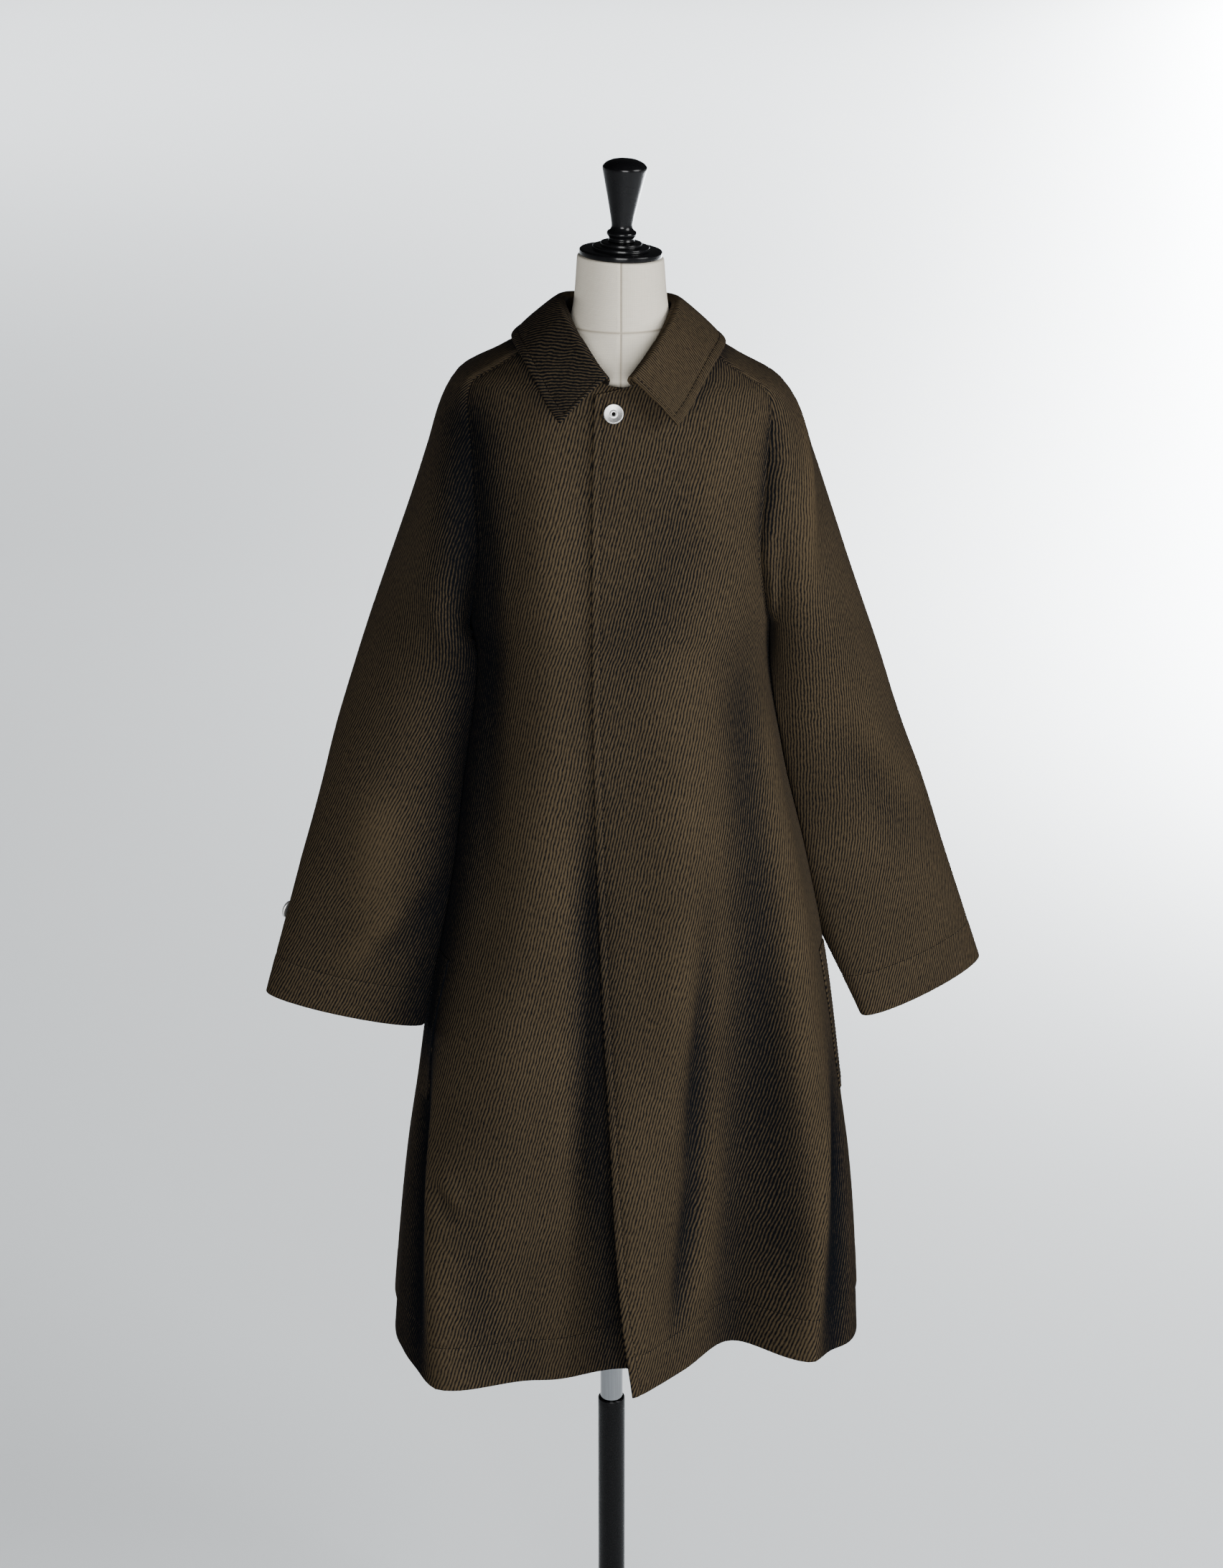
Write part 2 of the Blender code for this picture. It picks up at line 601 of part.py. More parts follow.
def dress_form():
    """The linen-covered body and neck."""
    angles = np.linspace(0.0, 2 * math.pi, FORM_COLUMNS, endpoint=False)
    bm = bmesh.new()
    rings = []
    for height in FORM_HEIGHTS:
        width, front, back = (at(FORM, c, height) for c in ("width", "front", "back"))
        x = width * np.sin(angles)
        y = -np.where(np.cos(angles) > 0, front, back) * np.cos(angles)
        share = (height - NECK_LEAN_FROM) / (FORM_HEIGHTS[-1] - NECK_LEAN_FROM)
        lean = math.tan(CAP_TILT) * ease(share)
        rings.append([bm.verts.new((FORM_MIDDLE + a, b, height - lean * a)) for a, b in zip(x, y)])
    for low, high in zip(rings, rings[1:]):
        for j in range(FORM_COLUMNS):
            k = (j + 1) % FORM_COLUMNS
            bm.faces.new((low[j], low[k], high[k], high[j]))
    bm.faces.new(rings[0][::-1])
    bm.faces.new(rings[-1])
    add_object("form_body", bm, LINEN)


def coat():
    fronts = {side: front_grid(side) for side in (1, -1)}
    back = back_grid()
    sleeves = {side: sleeve_grid(side) for side in (1, -1)}
    out = {side: outward(fronts[side], COAT_CORE) for side in (1, -1)}
    out_back = outward(back, COAT_CORE)
    out_sleeve = {}
    for side in (1, -1):
        core = sleeves[side].mean(axis=1, keepdims=True)
        out_sleeve[side] = outward(sleeves[side], core)
        lower = SLEEVE_ROWS
        share_normals(out_sleeve[side][:lower, 0], out_sleeve[side][:lower, -1])
        rear = out_back[:, -1] if side > 0 else out_back[:, 0]
        skirt = len(SKIRT_HEIGHTS)
        share_normals(out[side][:skirt, -1], rear[:skirt])
        share_normals(out[side][skirt:, -1], out_sleeve[side][lower:, 0])
        share_normals(rear[skirt:], out_sleeve[side][lower:, -1])
    for side, name in ((1, "left"), (-1, "right")):
        shell("front_" + name, fronts[side], fronts[side] - CLOTH * out[side], WOOL)
        shell("sleeve_" + name, sleeves[side], sleeves[side] - CLOTH * out_sleeve[side], WOOL)
        welt(side, "pocket_welt_" + name)
    shell("back", back, back - CLOTH * out_back, WOOL)

    every = slice(3, SLEEVE_COLUMNS - 2, 5)
    neck = [
        fronts[-1][-NECK_ROWS:, 0],
        sleeves[-1][-1, every],
        back[-1, 1:-1:3],
        sleeves[1][-1, every][::-1],
        fronts[1][-NECK_ROWS:, 0][::-1],
    ]
    over, under = collar_grids(np.concatenate(neck))
    shell("collar", over, under, WOOL)

    x, height = NECK_BUTTON_PLACE
    steps = BUTTON_PATCH * np.array([-1.0, 0.0, 1.0])
    along = x - at(FRONT, "middle", height) + steps
    patch = np.array([front_row(1, height + step, along) for step in steps])
    button = turned("neck_button", NECK_BUTTON, SILVER_METAL)
    place_on(button, patch[1, 1], outward(patch, COAT_CORE)[1, 1], LAYER_GAP)
    for side, name in ((1, "left"), (-1, "right")):
        way = CUFF_BUTTON_TURN[side] + 2 * steps
        patch = np.array([sleeve_row(side, CUFF_BUTTON_HEIGHT + step, way) for step in steps])
        core = sleeve_row(side, CUFF_BUTTON_HEIGHT, np.linspace(0, 1, SLEEVE_COLUMNS)).mean(axis=0)
        button = turned("cuff_button_" + name, CUFF_BUTTON, SILVER_METAL)
        place_on(button, patch[1, 1], outward(patch, core)[1, 1], LAYER_GAP)


def stand():
    turned("stand_base", BASE, BLACK_PAINT)
    foot = BASE_TOP + PART_GAP
    tube = (
        (TUBE_BORE, foot), (TUBE_RADIUS, foot), (TUBE_RADIUS, TUBE_TOP - TUBE_LIP),
        (TUBE_RADIUS - TUBE_LIP, TUBE_TOP), (TUBE_BORE + TUBE_LIP, TUBE_TOP),
        (TUBE_BORE, TUBE_TOP - TUBE_LIP),
    )
    turned("stand_tube", tube, BLACK_PAINT, loop=True)
    top = FORM["height"][0] - PART_GAP
    pole = ((0.0, POLE_FOOT), (POLE_RADIUS, POLE_FOOT), (POLE_RADIUS, top), (0.0, top))
    turned("stand_pole", pole, CHROME)
    lean = Matrix.Rotation(CAP_TILT, 4, "Y")
    neck = Vector((FORM_MIDDLE, 0.0, FORM["height"][-1]))
    cap = turned("neck_cap", CAP, BLACK_WOOD)
    cap.matrix_world = Matrix.Translation(neck) @ lean @ Matrix.Translation((0, 0, PART_GAP))
    finial = turned("neck_finial", FINIAL, BLACK_WOOD)
    up = CAP[-1][1] + 2 * PART_GAP
    finial.matrix_world = Matrix.Translation(neck) @ lean @ Matrix.Translation((0, 0, up))


def ride_on(name, place, pieces):
    """Parents pieces to an empty on the axis that they move about or along."""
    axis = bpy.data.objects.new(name, None)
    axis.location = place
    bpy.context.collection.objects.link(axis)
    for piece in pieces:
        piece.parent = axis
        piece.matrix_parent_inverse = Matrix.Translation(place).inverted()


for old in list(bpy.data.objects):
    bpy.data.objects.remove(old, do_unlink=True)
coat()
dress_form()
stand()
fixed = ("stand_base", "stand_tube")
pole = bpy.data.objects["stand_pole"]
dressed = [piece for piece in bpy.data.objects if piece != pole and piece.name not in fixed]
ride_on("sliding_axis", (0.0, 0.0, TUBE_TOP), [pole])
ride_on("turning_axis", (0.0, 0.0, FORM["height"][0]), dressed)
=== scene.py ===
import math

import bmesh
import bpy
import numpy as np
from mathutils import Matrix, Vector
from mathutils.kdtree import KDTree


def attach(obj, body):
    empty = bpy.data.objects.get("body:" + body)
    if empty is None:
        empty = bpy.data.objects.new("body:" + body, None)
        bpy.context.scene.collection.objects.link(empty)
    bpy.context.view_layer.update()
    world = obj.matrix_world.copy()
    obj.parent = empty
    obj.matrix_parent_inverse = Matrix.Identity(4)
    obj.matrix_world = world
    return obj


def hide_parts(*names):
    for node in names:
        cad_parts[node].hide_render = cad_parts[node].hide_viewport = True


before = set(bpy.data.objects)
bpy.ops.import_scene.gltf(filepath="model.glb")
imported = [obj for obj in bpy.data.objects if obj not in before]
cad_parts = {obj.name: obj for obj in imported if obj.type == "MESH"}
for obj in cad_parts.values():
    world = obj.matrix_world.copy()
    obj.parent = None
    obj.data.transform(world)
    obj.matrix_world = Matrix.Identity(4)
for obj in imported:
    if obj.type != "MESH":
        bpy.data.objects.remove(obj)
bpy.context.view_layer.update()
print("frame loaded with", len(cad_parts), "solids")

# camera where the photograph was taken from: in front, above the collar, looking down
cameraSetup = {"place": (0.0, -3.187, 2.288), "lookDown": 20.17, "lens": 74.62, "longSide": 36.0}
cameraData = bpy.data.cameras.new("camera")
cameraData.lens = cameraSetup["lens"]
cameraData.sensor_width = cameraSetup["longSide"]
cameraObject = bpy.data.objects.new("camera", cameraData)
cameraObject.location = cameraSetup["place"]
cameraObject.rotation_euler = (math.radians(90 - cameraSetup["lookDown"]), 0, 0)
bpy.context.scene.collection.objects.link(cameraObject)
bpy.context.scene.camera = cameraObject


# small helpers for numbers, meshes and nodes

def columns(names, *rows):
    return dict(zip(names.split(), np.array(rows, float).T))


def along(rows, name, height):  # smooth line through a column, no overshoot
    known, value = rows["height"], rows[name]
    step = np.diff(known)
    rise = np.diff(value) / step
    product = rise[:-1] * rise[1:]
    total = np.where(product > 0, rise[:-1] + rise[1:], 1.0)
    slope = np.concatenate([rise[:1], np.where(product > 0, 2 * product / total, 0.0), rise[-1:]])
    height = np.clip(height, known[0], known[-1])
    k = np.clip(np.searchsorted(known, height) - 1, 0, len(step) - 1)
    t = (height - known[k]) / step[k]
    start = value[k] * (1 + 2 * t) * (1 - t) ** 2 + value[k + 1] * t * t * (3 - 2 * t)
    return start + step[k] * t * (1 - t) * (slope[k] * (1 - t) - slope[k + 1] * t)


def ease(t):
    t = np.clip(t, 0.0, 1.0)
    return t * t * (3 - 2 * t)


def unit(v):
    return v / np.maximum(np.linalg.norm(v, axis=-1, keepdims=True), 1e-12)


def toLinear(hexColour):
    parts = [int(hexColour[i:i + 2], 16) / 255 for i in (1, 3, 5)]
    return tuple(c / 12.92 if c <= 0.04045 else ((c + 0.055) / 1.055) ** 2.4 for c in parts) + (1.0,)


def addNode(tree, kind, inputs={}, **settings):
    node = tree.nodes.new(kind)
    for name, value in settings.items():
        setattr(node, name, value)
    for name, value in inputs.items():
        if isinstance(value, bpy.types.NodeSocket):
            tree.links.new(value, node.inputs[name])
        else:
            node.inputs[name].default_value = value
    return node


def newMaterial(name, **sockets):
    made = bpy.data.materials.new(name)
    made.use_nodes = True
    shader = made.node_tree.nodes["Principled BSDF"]
    for socket, value in sockets.items():
        shader.inputs[socket.replace("_", " ")].default_value = value
    return made, made.node_tree, shader


def meshPiece(name, points, faces, look, uv=None, sharp=None):
    mesh = bpy.data.meshes.new(name)
    mesh.from_pydata(np.asarray(points).tolist(), [], [tuple(f) for f in faces])
    if uv is not None:
        layer = mesh.uv_layers.new(name="cloth")
        corner = np.zeros(len(mesh.loops), int)
        mesh.loops.foreach_get("vertex_index", corner)
        layer.data.foreach_set("uv", np.asarray(uv, float)[corner].ravel())
    bm = bmesh.new()
    bm.from_mesh(mesh)
    bmesh.ops.recalc_face_normals(bm, faces=bm.faces)
    bm.to_mesh(mesh)
    bm.free()
    mesh.shade_smooth()
    if sharp:
        mesh.set_sharp_from_angle(angle=math.radians(sharp))
    mesh.materials.append(look)
    made = bpy.data.objects.new(name, mesh)
    bpy.context.scene.collection.objects.link(made)
    return made


# materials

twill = {
    "wale": 0.0031,  # real wales are about 1.9 mm apart, drawn wider so that they show
    "steep": 75.0,  # degrees from the weft, leaning right as they climb
    "warp": "#0d0f13",
    "weft": "#453b2c",
    "weftWorn": "#554937",
    "paintedShadeGain": 1.5,  # how far the painted shading pulls a hollow to the dark warp (painted shade) and a ridge to the weft (painted light)
    "drift": (45.0, 1.1),  # the wales wander: swells about 22 mm long, and how many wales they move
    "fleck": (170.0, 560.0),  # yarn flecks about 6 mm along a wale and 1.8 mm across it
    "fleckRange": (2.6, -1.3),
    "worn": 9.0,  # worn patches about 110 mm across
    "shown": (-1.4, 1.5),  # from all warp to all weft
}


def woolTwill():
    # two-tone wool twill, woven and pressed: steep golden wales on blue-black, broken by the dark warp, and
    # a soft blue-grey bloom where the cloth turns away; painted shade darkens its hollows and painted light
    # brightens its ridges
    made, tree, shader = newMaterial(
        "wool_twill_woven_two_tone",
        Roughness=0.78,
        Specular_IOR_Level=0.0,
        Sheen_Weight=0.02,
        Sheen_Roughness=0.38,
        Sheen_Tint=toLinear("#7f8fa8"),
    )
    uv = addNode(tree, "ShaderNodeUVMap", uv_map="cloth")
    angle = math.radians(twill["steep"])
    wale = twill["wale"]
    drift = addNode(
        tree, "ShaderNodeTexNoise", {"Vector": uv.outputs[0], "Scale": twill["drift"][0], "Detail": 3.0},
        noise_dimensions="2D",
    )
    walesAt = addNode(
        tree, "ShaderNodeVectorMath",
        {0: uv.outputs[0], 1: (math.sin(angle) / wale, -math.cos(angle) / wale, 0.0)},
        operation="DOT_PRODUCT",
    )
    bent = addNode(
        tree, "ShaderNodeMath", {0: drift.outputs[0], 1: twill["drift"][1], 2: walesAt.outputs["Value"]},
        operation="MULTIPLY_ADD",
    )
    turns = addNode(tree, "ShaderNodeMath", {0: bent.outputs[0], 1: 2 * math.pi}, operation="MULTIPLY")
    wave = addNode(tree, "ShaderNodeMath", {0: turns.outputs[0]}, operation="SINE")
    # yarn flecks drawn out along the wales
    turned = addNode(tree, "ShaderNodeMapping", {"Vector": uv.outputs[0], "Rotation": (0, 0, -angle)})
    drawnOut = addNode(
        tree, "ShaderNodeMapping", {"Vector": turned.outputs[0], "Scale": (*twill["fleck"], 1.0)},
    )
    fleck = addNode(
        tree, "ShaderNodeTexNoise",
        {"Vector": drawnOut.outputs[0], "Scale": 1.0, "Detail": 3.0, "Roughness": 0.65},
        noise_dimensions="2D",
    )
    cover = addNode(
        tree, "ShaderNodeTexNoise", {"Vector": uv.outputs[0], "Scale": twill["worn"], "Detail": 3.0},
        noise_dimensions="2D",
    )
    gain, offset = twill["fleckRange"]
    flecked = addNode(
        tree, "ShaderNodeMath", {0: fleck.outputs[0], 1: gain, 2: offset}, operation="MULTIPLY_ADD",
    )
    raised = addNode(tree, "ShaderNodeMath", {0: wave.outputs[0], 1: flecked.outputs[0]}, operation="ADD")
    # painted shading: hollows and the cloth between parts are painted towards the dark warp (painted
    # shade), ridges towards the weft (painted light)
    fold = addNode(tree, "ShaderNodeAttribute", attribute_name="fold")
    withPaintedShading = addNode(
        tree, "ShaderNodeMath", {0: fold.outputs["Fac"], 1: twill["paintedShadeGain"], 2: raised.outputs[0]},
        operation="MULTIPLY_ADD",
    )
    allWarp, allWeft = twill["shown"]
    shown = addNode(
        tree, "ShaderNodeMapRange",
        {"Value": withPaintedShading.outputs[0], "From Min": allWarp, "From Max": allWeft},
        interpolation_type="SMOOTHSTEP",
    )
    weft = addNode(
        tree, "ShaderNodeMix",
        {0: cover.outputs[0], 6: toLinear(twill["weft"]), 7: toLinear(twill["weftWorn"])},
        data_type="RGBA",
    )
    yarns = addNode(
        tree, "ShaderNodeMix", {0: shown.outputs[0], 6: toLinear(twill["warp"]), 7: weft.outputs[2]},
        data_type="RGBA",
    )
    relief = addNode(
        tree, "ShaderNodeBump", {"Height": shown.outputs[0], "Strength": 0.25, "Distance": 0.0005},
    )
    tree.links.new(yarns.outputs[2], shader.inputs["Base Color"])
    tree.links.new(relief.outputs[0], shader.inputs["Normal"])
    return made


def sewingThread():
    # spun polyester thread, twisted: dark and dull, uneven where the twist shows, every 0.7 mm
    made, tree, shader = newMaterial("polyester_thread_twisted", Roughness=0.6, Specular_IOR_Level=0.1)
    place = addNode(tree, "ShaderNodeTexCoord")
    twist = addNode(
        tree, "ShaderNodeTexNoise", {"Vector": place.outputs["Object"], "Scale": 1400.0, "Detail": 1.0},
    )
    tone = addNode(
        tree, "ShaderNodeMix",
        {0: twist.outputs[0], 6: toLinear("#060505"), 7: toLinear("#15110c")}, data_type="RGBA",
    )
    tree.links.new(tone.outputs[2], shader.inputs["Base Color"])
    return made


def linenCanvas():
    # unbleached linen canvas, plain woven and stretched: matt, pale, with slubs both ways
    made, tree, shader = newMaterial(
        "linen_canvas_plain_woven", Roughness=0.88, Specular_IOR_Level=0.2, Sheen_Weight=0.08,
    )
    uv = addNode(tree, "ShaderNodeUVMap", uv_map="cloth")
    thread = 2 * math.pi / 0.0011  # a thread every 1.1 mm, about twice the real spacing so that it shows
    crossing = []
    for direction, scale in (((thread, 0, 0), (60.0, 700.0, 1.0)), ((0, thread, 0), (700.0, 60.0, 1.0))):
        count = addNode(
            tree, "ShaderNodeVectorMath", {0: uv.outputs[0], 1: direction}, operation="DOT_PRODUCT",
        )
        rib = addNode(tree, "ShaderNodeMath", {0: count.outputs["Value"]}, operation="SINE")
        stretch = addNode(tree, "ShaderNodeMapping", {"Vector": uv.outputs[0], "Scale": scale})
        slub = addNode(
            tree, "ShaderNodeTexNoise", {"Vector": stretch.outputs[0], "Scale": 1.0, "Detail": 2.0},
            noise_dimensions="2D",
        )
        crossing.append(addNode(
            tree, "ShaderNodeMath", {0: slub.outputs[0], 1: 2.4, 2: rib.outputs[0]},
            operation="MULTIPLY_ADD",
        ))
    weave = addNode(
        tree, "ShaderNodeMath", {0: crossing[0].outputs[0], 1: crossing[1].outputs[0]}, operation="ADD",
    )
    level = addNode(
        tree, "ShaderNodeMapRange",
        {"Value": weave.outputs[0], "From Min": 0.2, "From Max": 4.6, "To Min": 0.0, "To Max": 1.0},
    )
    tone = addNode(
        tree, "ShaderNodeMix",
        {0: level.outputs[0], 6: toLinear("#d0c9b8"), 7: toLinear("#e3dccd")}, data_type="RGBA",
    )
    relief = addNode(
        tree, "ShaderNodeBump", {"Height": level.outputs[0], "Strength": 0.35, "Distance": 0.0004},
    )
    # the seams are painted darker: brown thread lies in them, and painted shade darkens their grooves
    seam = addNode(tree, "ShaderNodeAttribute", attribute_name="seam")
    sewn = addNode(
        tree, "ShaderNodeMix",
        {0: seam.outputs["Fac"], 6: tone.outputs[2], 7: toLinear("#6f604b")}, data_type="RGBA",
    )
    tree.links.new(sewn.outputs[2], shader.inputs["Base Color"])
    tree.links.new(relief.outputs[0], shader.inputs["Normal"])
    return made


def lacqueredWood():
    # turned beech in black lacquer: deep gloss, faint long grain and a soft unevenness of the coats
    made, tree, shader = newMaterial(
        "beech_turned_black_lacquer", Coat_Weight=0.08, Coat_Roughness=0.05, Specular_IOR_Level=0.16,
    )
    place = addNode(tree, "ShaderNodeTexCoord")
    # grain about 2.4 mm apart and 40 mm long, unevenness about 11 mm across
    stretch = addNode(
        tree, "ShaderNodeMapping", {"Vector": place.outputs["Object"], "Scale": (420, 420, 26)},
    )
    grain = addNode(tree, "ShaderNodeTexNoise", {"Vector": stretch.outputs[0], "Scale": 1.0, "Detail": 3.0})
    coats = addNode(
        tree, "ShaderNodeTexNoise", {"Vector": place.outputs["Object"], "Scale": 90.0, "Detail": 2.0},
    )
    tone = addNode(
        tree, "ShaderNodeMix",
        {0: grain.outputs[0], 6: toLinear("#08080a"), 7: toLinear("#121213")}, data_type="RGBA",
    )
    rough = addNode(
        tree, "ShaderNodeMapRange",
        {"Value": coats.outputs[0], "From Min": 0.3, "From Max": 0.7, "To Min": 0.16, "To Max": 0.30},
    )
    relief = addNode(
        tree, "ShaderNodeBump", {"Height": grain.outputs[0], "Strength": 0.04, "Distance": 0.0003},
    )
    tree.links.new(tone.outputs[2], shader.inputs["Base Color"])
    tree.links.new(rough.outputs[0], shader.inputs["Roughness"])
    tree.links.new(relief.outputs[0], shader.inputs["Normal"])
    return made


def satinMetal():
    # nickel-plated brass, stamped and tumbled: a pale satin metal with scuffs of about 1 mm
    made, tree, shader = newMaterial("nickel_plated_brass_satin", Metallic=1.0)
    place = addNode(tree, "ShaderNodeTexCoord")
    scuff = addNode(
        tree, "ShaderNodeTexNoise", {"Vector": place.outputs["Object"], "Scale": 900.0, "Detail": 4.0},
    )
    tone = addNode(
        tree, "ShaderNodeMix",
        {0: scuff.outputs[0], 6: toLinear("#dcdcda"), 7: toLinear("#ececea")}, data_type="RGBA",
    )
    # painted shade: the eye in the middle is painted dark, as the shade in its hole
    paintedEyeShade = addNode(tree, "ShaderNodeAttribute", attribute_name="paintedEyeShade")
    dotted = addNode(
        tree, "ShaderNodeMix",
        {0: paintedEyeShade.outputs["Fac"], 6: tone.outputs[2], 7: toLinear("#141312")}, data_type="RGBA",
    )
    rough = addNode(
        tree, "ShaderNodeMapRange",
        {"Value": scuff.outputs[0], "From Min": 0.3, "From Max": 0.7, "To Min": 0.46, "To Max": 0.58},
    )
    tree.links.new(dotted.outputs[2], shader.inputs["Base Color"])
    tree.links.new(rough.outputs[0], shader.inputs["Roughness"])
    return made


def chromedSteel():
    # chrome-plated steel tube, polished: a mirror with rubbing marks along it, about 1 mm by 70 mm,
    # drawn wider than the real hair-fine ones so that they show
    made, tree, shader = newMaterial("steel_chrome_plated_polished", Metallic=1.0)
    place = addNode(tree, "ShaderNodeTexCoord")
    stretch = addNode(
        tree, "ShaderNodeMapping", {"Vector": place.outputs["Object"], "Scale": (900, 900, 14)},
    )
    marks = addNode(tree, "ShaderNodeTexNoise", {"Vector": stretch.outputs[0], "Scale": 1.0, "Detail": 2.0})
    tone = addNode(
        tree, "ShaderNodeMix",
        {0: marks.outputs[0], 6: toLinear("#75777a"), 7: toLinear("#9c9ea1")}, data_type="RGBA",
    )
    rough = addNode(
        tree, "ShaderNodeMapRange",
        {"Value": marks.outputs[0], "From Min": 0.3, "From Max": 0.75, "To Min": 0.05, "To Max": 0.14},
    )
    tree.links.new(tone.outputs[2], shader.inputs["Base Color"])
    tree.links.new(rough.outputs[0], shader.inputs["Roughness"])
    return made


def enamelledSteel():
    # steel in baked black enamel: smooth, half gloss, with the orange peel of sprayed paint, about 2.4 mm
    made, tree, shader = newMaterial("steel_baked_black_enamel", Specular_IOR_Level=0.12)
    place = addNode(tree, "ShaderNodeTexCoord")
    peel = addNode(
        tree, "ShaderNodeTexNoise", {"Vector": place.outputs["Object"], "Scale": 420.0, "Detail": 2.0},
    )
    tone = addNode(
        tree, "ShaderNodeMix",
        {0: peel.outputs[0], 6: toLinear("#080809"), 7: toLinear("#0f0f10")}, data_type="RGBA",
    )
    rough = addNode(
        tree, "ShaderNodeMapRange",
        {"Value": peel.outputs[0], "From Min": 0.3, "From Max": 0.7, "To Min": 0.20, "To Max": 0.30},
    )
    relief = addNode(
        tree, "ShaderNodeBump", {"Height": peel.outputs[0], "Strength": 0.08, "Distance": 0.0002},
    )
    tree.links.new(tone.outputs[2], shader.inputs["Base Color"])
    tree.links.new(rough.outputs[0], shader.inputs["Roughness"])
    tree.links.new(relief.outputs[0], shader.inputs["Normal"])
    return made


wool = woolTwill()
thread = sewingThread()
linen = linenCanvas()
lacquer = lacqueredWood()
nickel = satinMetal()
chrome = chromedSteel()
enamel = enamelledSteel()
print("materials made")


# body of the coat: two fronts and a back, cut to the same plan as the solids

bodyCloth = {
    "cloth": 0.0020, "seamGap": 0.0004, "layerGap": 0.0012,
    "hem": 0.490, "underarm": 1.280, "neckFront": 1.555, "neckTop": 1.594,
    "hemStitch": 0.050, "edgeStitch": 0.0080, "seamStitch": 0.0050, "sewnSoft": 0.03,
    "stitchGroove": (0.0013, 0.0006), "edgePlump": 0.0005, "edgePlumpSoft": 0.002,
    "hemGroove": (0.0016, 0.0005), "hemPlump": 0.0002, "hemPlumpSoft": 0.006, "hemRound": (0.0034, 0.0008),
    "edgeRound": (0.0030, 0.0009), "seamRound": (0.0020, 0.0009),
    "frontRim": (0.0007, 0.0002, 0.0, 0.0006), "rim": (0.0007, 0.0002, 0.0, 0.0002),
    "planSteps": 361, "slopeStep": 0.004,
    "frontColumns": 44, "backColumns": 76, "skirtRows": 74, "yokeRows": 30, "neckRows": 10,
    "underlap": 0.034, "underlapStep": (0.033, 0.075),
    "hemDip": 0.12, "hemTilt": 0.030, "hemTiltFrom": -0.15, "hemTiltTop": 0.90,
    "lean": 0.070, "leanFrom": 0.03, "leanHeights": (1.42, 1.54),
}
frontPlan = columns(
    "height reach width square cut middle",
    (0.490, 0.150, 0.2545, 2.8, 0.008, 0.015),
    (0.660, 0.152, 0.2425, 2.8, 0.006, 0.0172),
    (0.800, 0.153, 0.225, 2.8, 0.004, 0.0180),
    (0.940, 0.153, 0.206, 2.7, 0.002, 0.019),
    (1.030, 0.153, 0.190, 2.6, 0.000, 0.017),
    (1.160, 0.152, 0.166, 2.6, 0.000, 0.011),
    (1.280, 0.150, 0.153, 2.5, 0.000, 0.008),
    (1.330, 0.149, 0.157, 2.5, 0.066, 0.008),
    (1.400, 0.145, 0.169, 2.4, 0.092, 0.008),
    (1.480, 0.128, 0.177, 2.3, 0.080, 0.008),
    (1.525, 0.112, 0.173, 2.3, 0.062, 0.008),
    (1.555, 0.098, 0.160, 2.3, 0.046, 0.008),
    (1.575, 0.084, 0.130, 2.2, 0.042, 0.008),
    (1.607, 0.056, 0.068, 2.0, 0.022, 0.008),
)
backPlan = columns(
    "height reach width square cut",
    (0.490, 0.205, 0.2545, 2.5, -0.008),
    (0.660, 0.196, 0.2425, 2.5, -0.006),
    (0.800, 0.188, 0.225, 2.5, -0.004),
    (0.940, 0.180, 0.206, 2.5, -0.002),
    (1.030, 0.175, 0.190, 2.5, 0.000),
    (1.160, 0.169, 0.166, 2.4, 0.000),
    (1.280, 0.164, 0.153, 2.3, 0.000),
    (1.330, 0.160, 0.159, 2.2, 0.058),
    (1.400, 0.151, 0.170, 2.2, 0.090),
    (1.480, 0.133, 0.176, 2.1, 0.102),
    (1.525, 0.118, 0.167, 2.1, 0.096),
    (1.555, 0.104, 0.146, 2.1, 0.085),
    (1.575, 0.092, 0.121, 2.0, 0.073),
    (1.607, 0.066, 0.067, 2.0, 0.046),
)
frontEdge = columns(
    "height x",
    (0.490, 0.022), (0.580, 0.011), (0.670, 0.004), (0.760, -0.001), (0.895, -0.008),
    (1.117, -0.016), (1.295, -0.019), (1.440, -0.019), (1.555, -0.017),
)
neckline = columns("height x", (1.563, 0.012), (1.572, 0.030), (1.582, 0.048), (1.594, 0.066))
# large folds: place across the panel, half width, swing at the hem, height where it dies out
leftFolds = columns(
    "place width depth top",
    (-0.02, 0.20, 0.034, 0.95), (0.37, 0.26, -0.058, 1.28), (0.65, 0.18, 0.005, 1.22),
    (0.80, 0.16, 0.006, 0.95),
)
rightFolds = columns("place width depth top", (0.00, 0.30, -0.012, 1.00), (0.56, 0.28, 0.031, 1.05))
backFolds = columns(
    "place width depth top",
    (-0.74, 0.20, 0.016, 1.00), (-0.46, 0.18, -0.022, 1.05), (-0.18, 0.20, 0.020, 0.95),
    (0.10, 0.18, -0.020, 1.00), (0.36, 0.20, 0.022, 1.05), (0.60, 0.16, -0.016, 0.95),
    (0.80, 0.16, 0.012, 0.90),
)
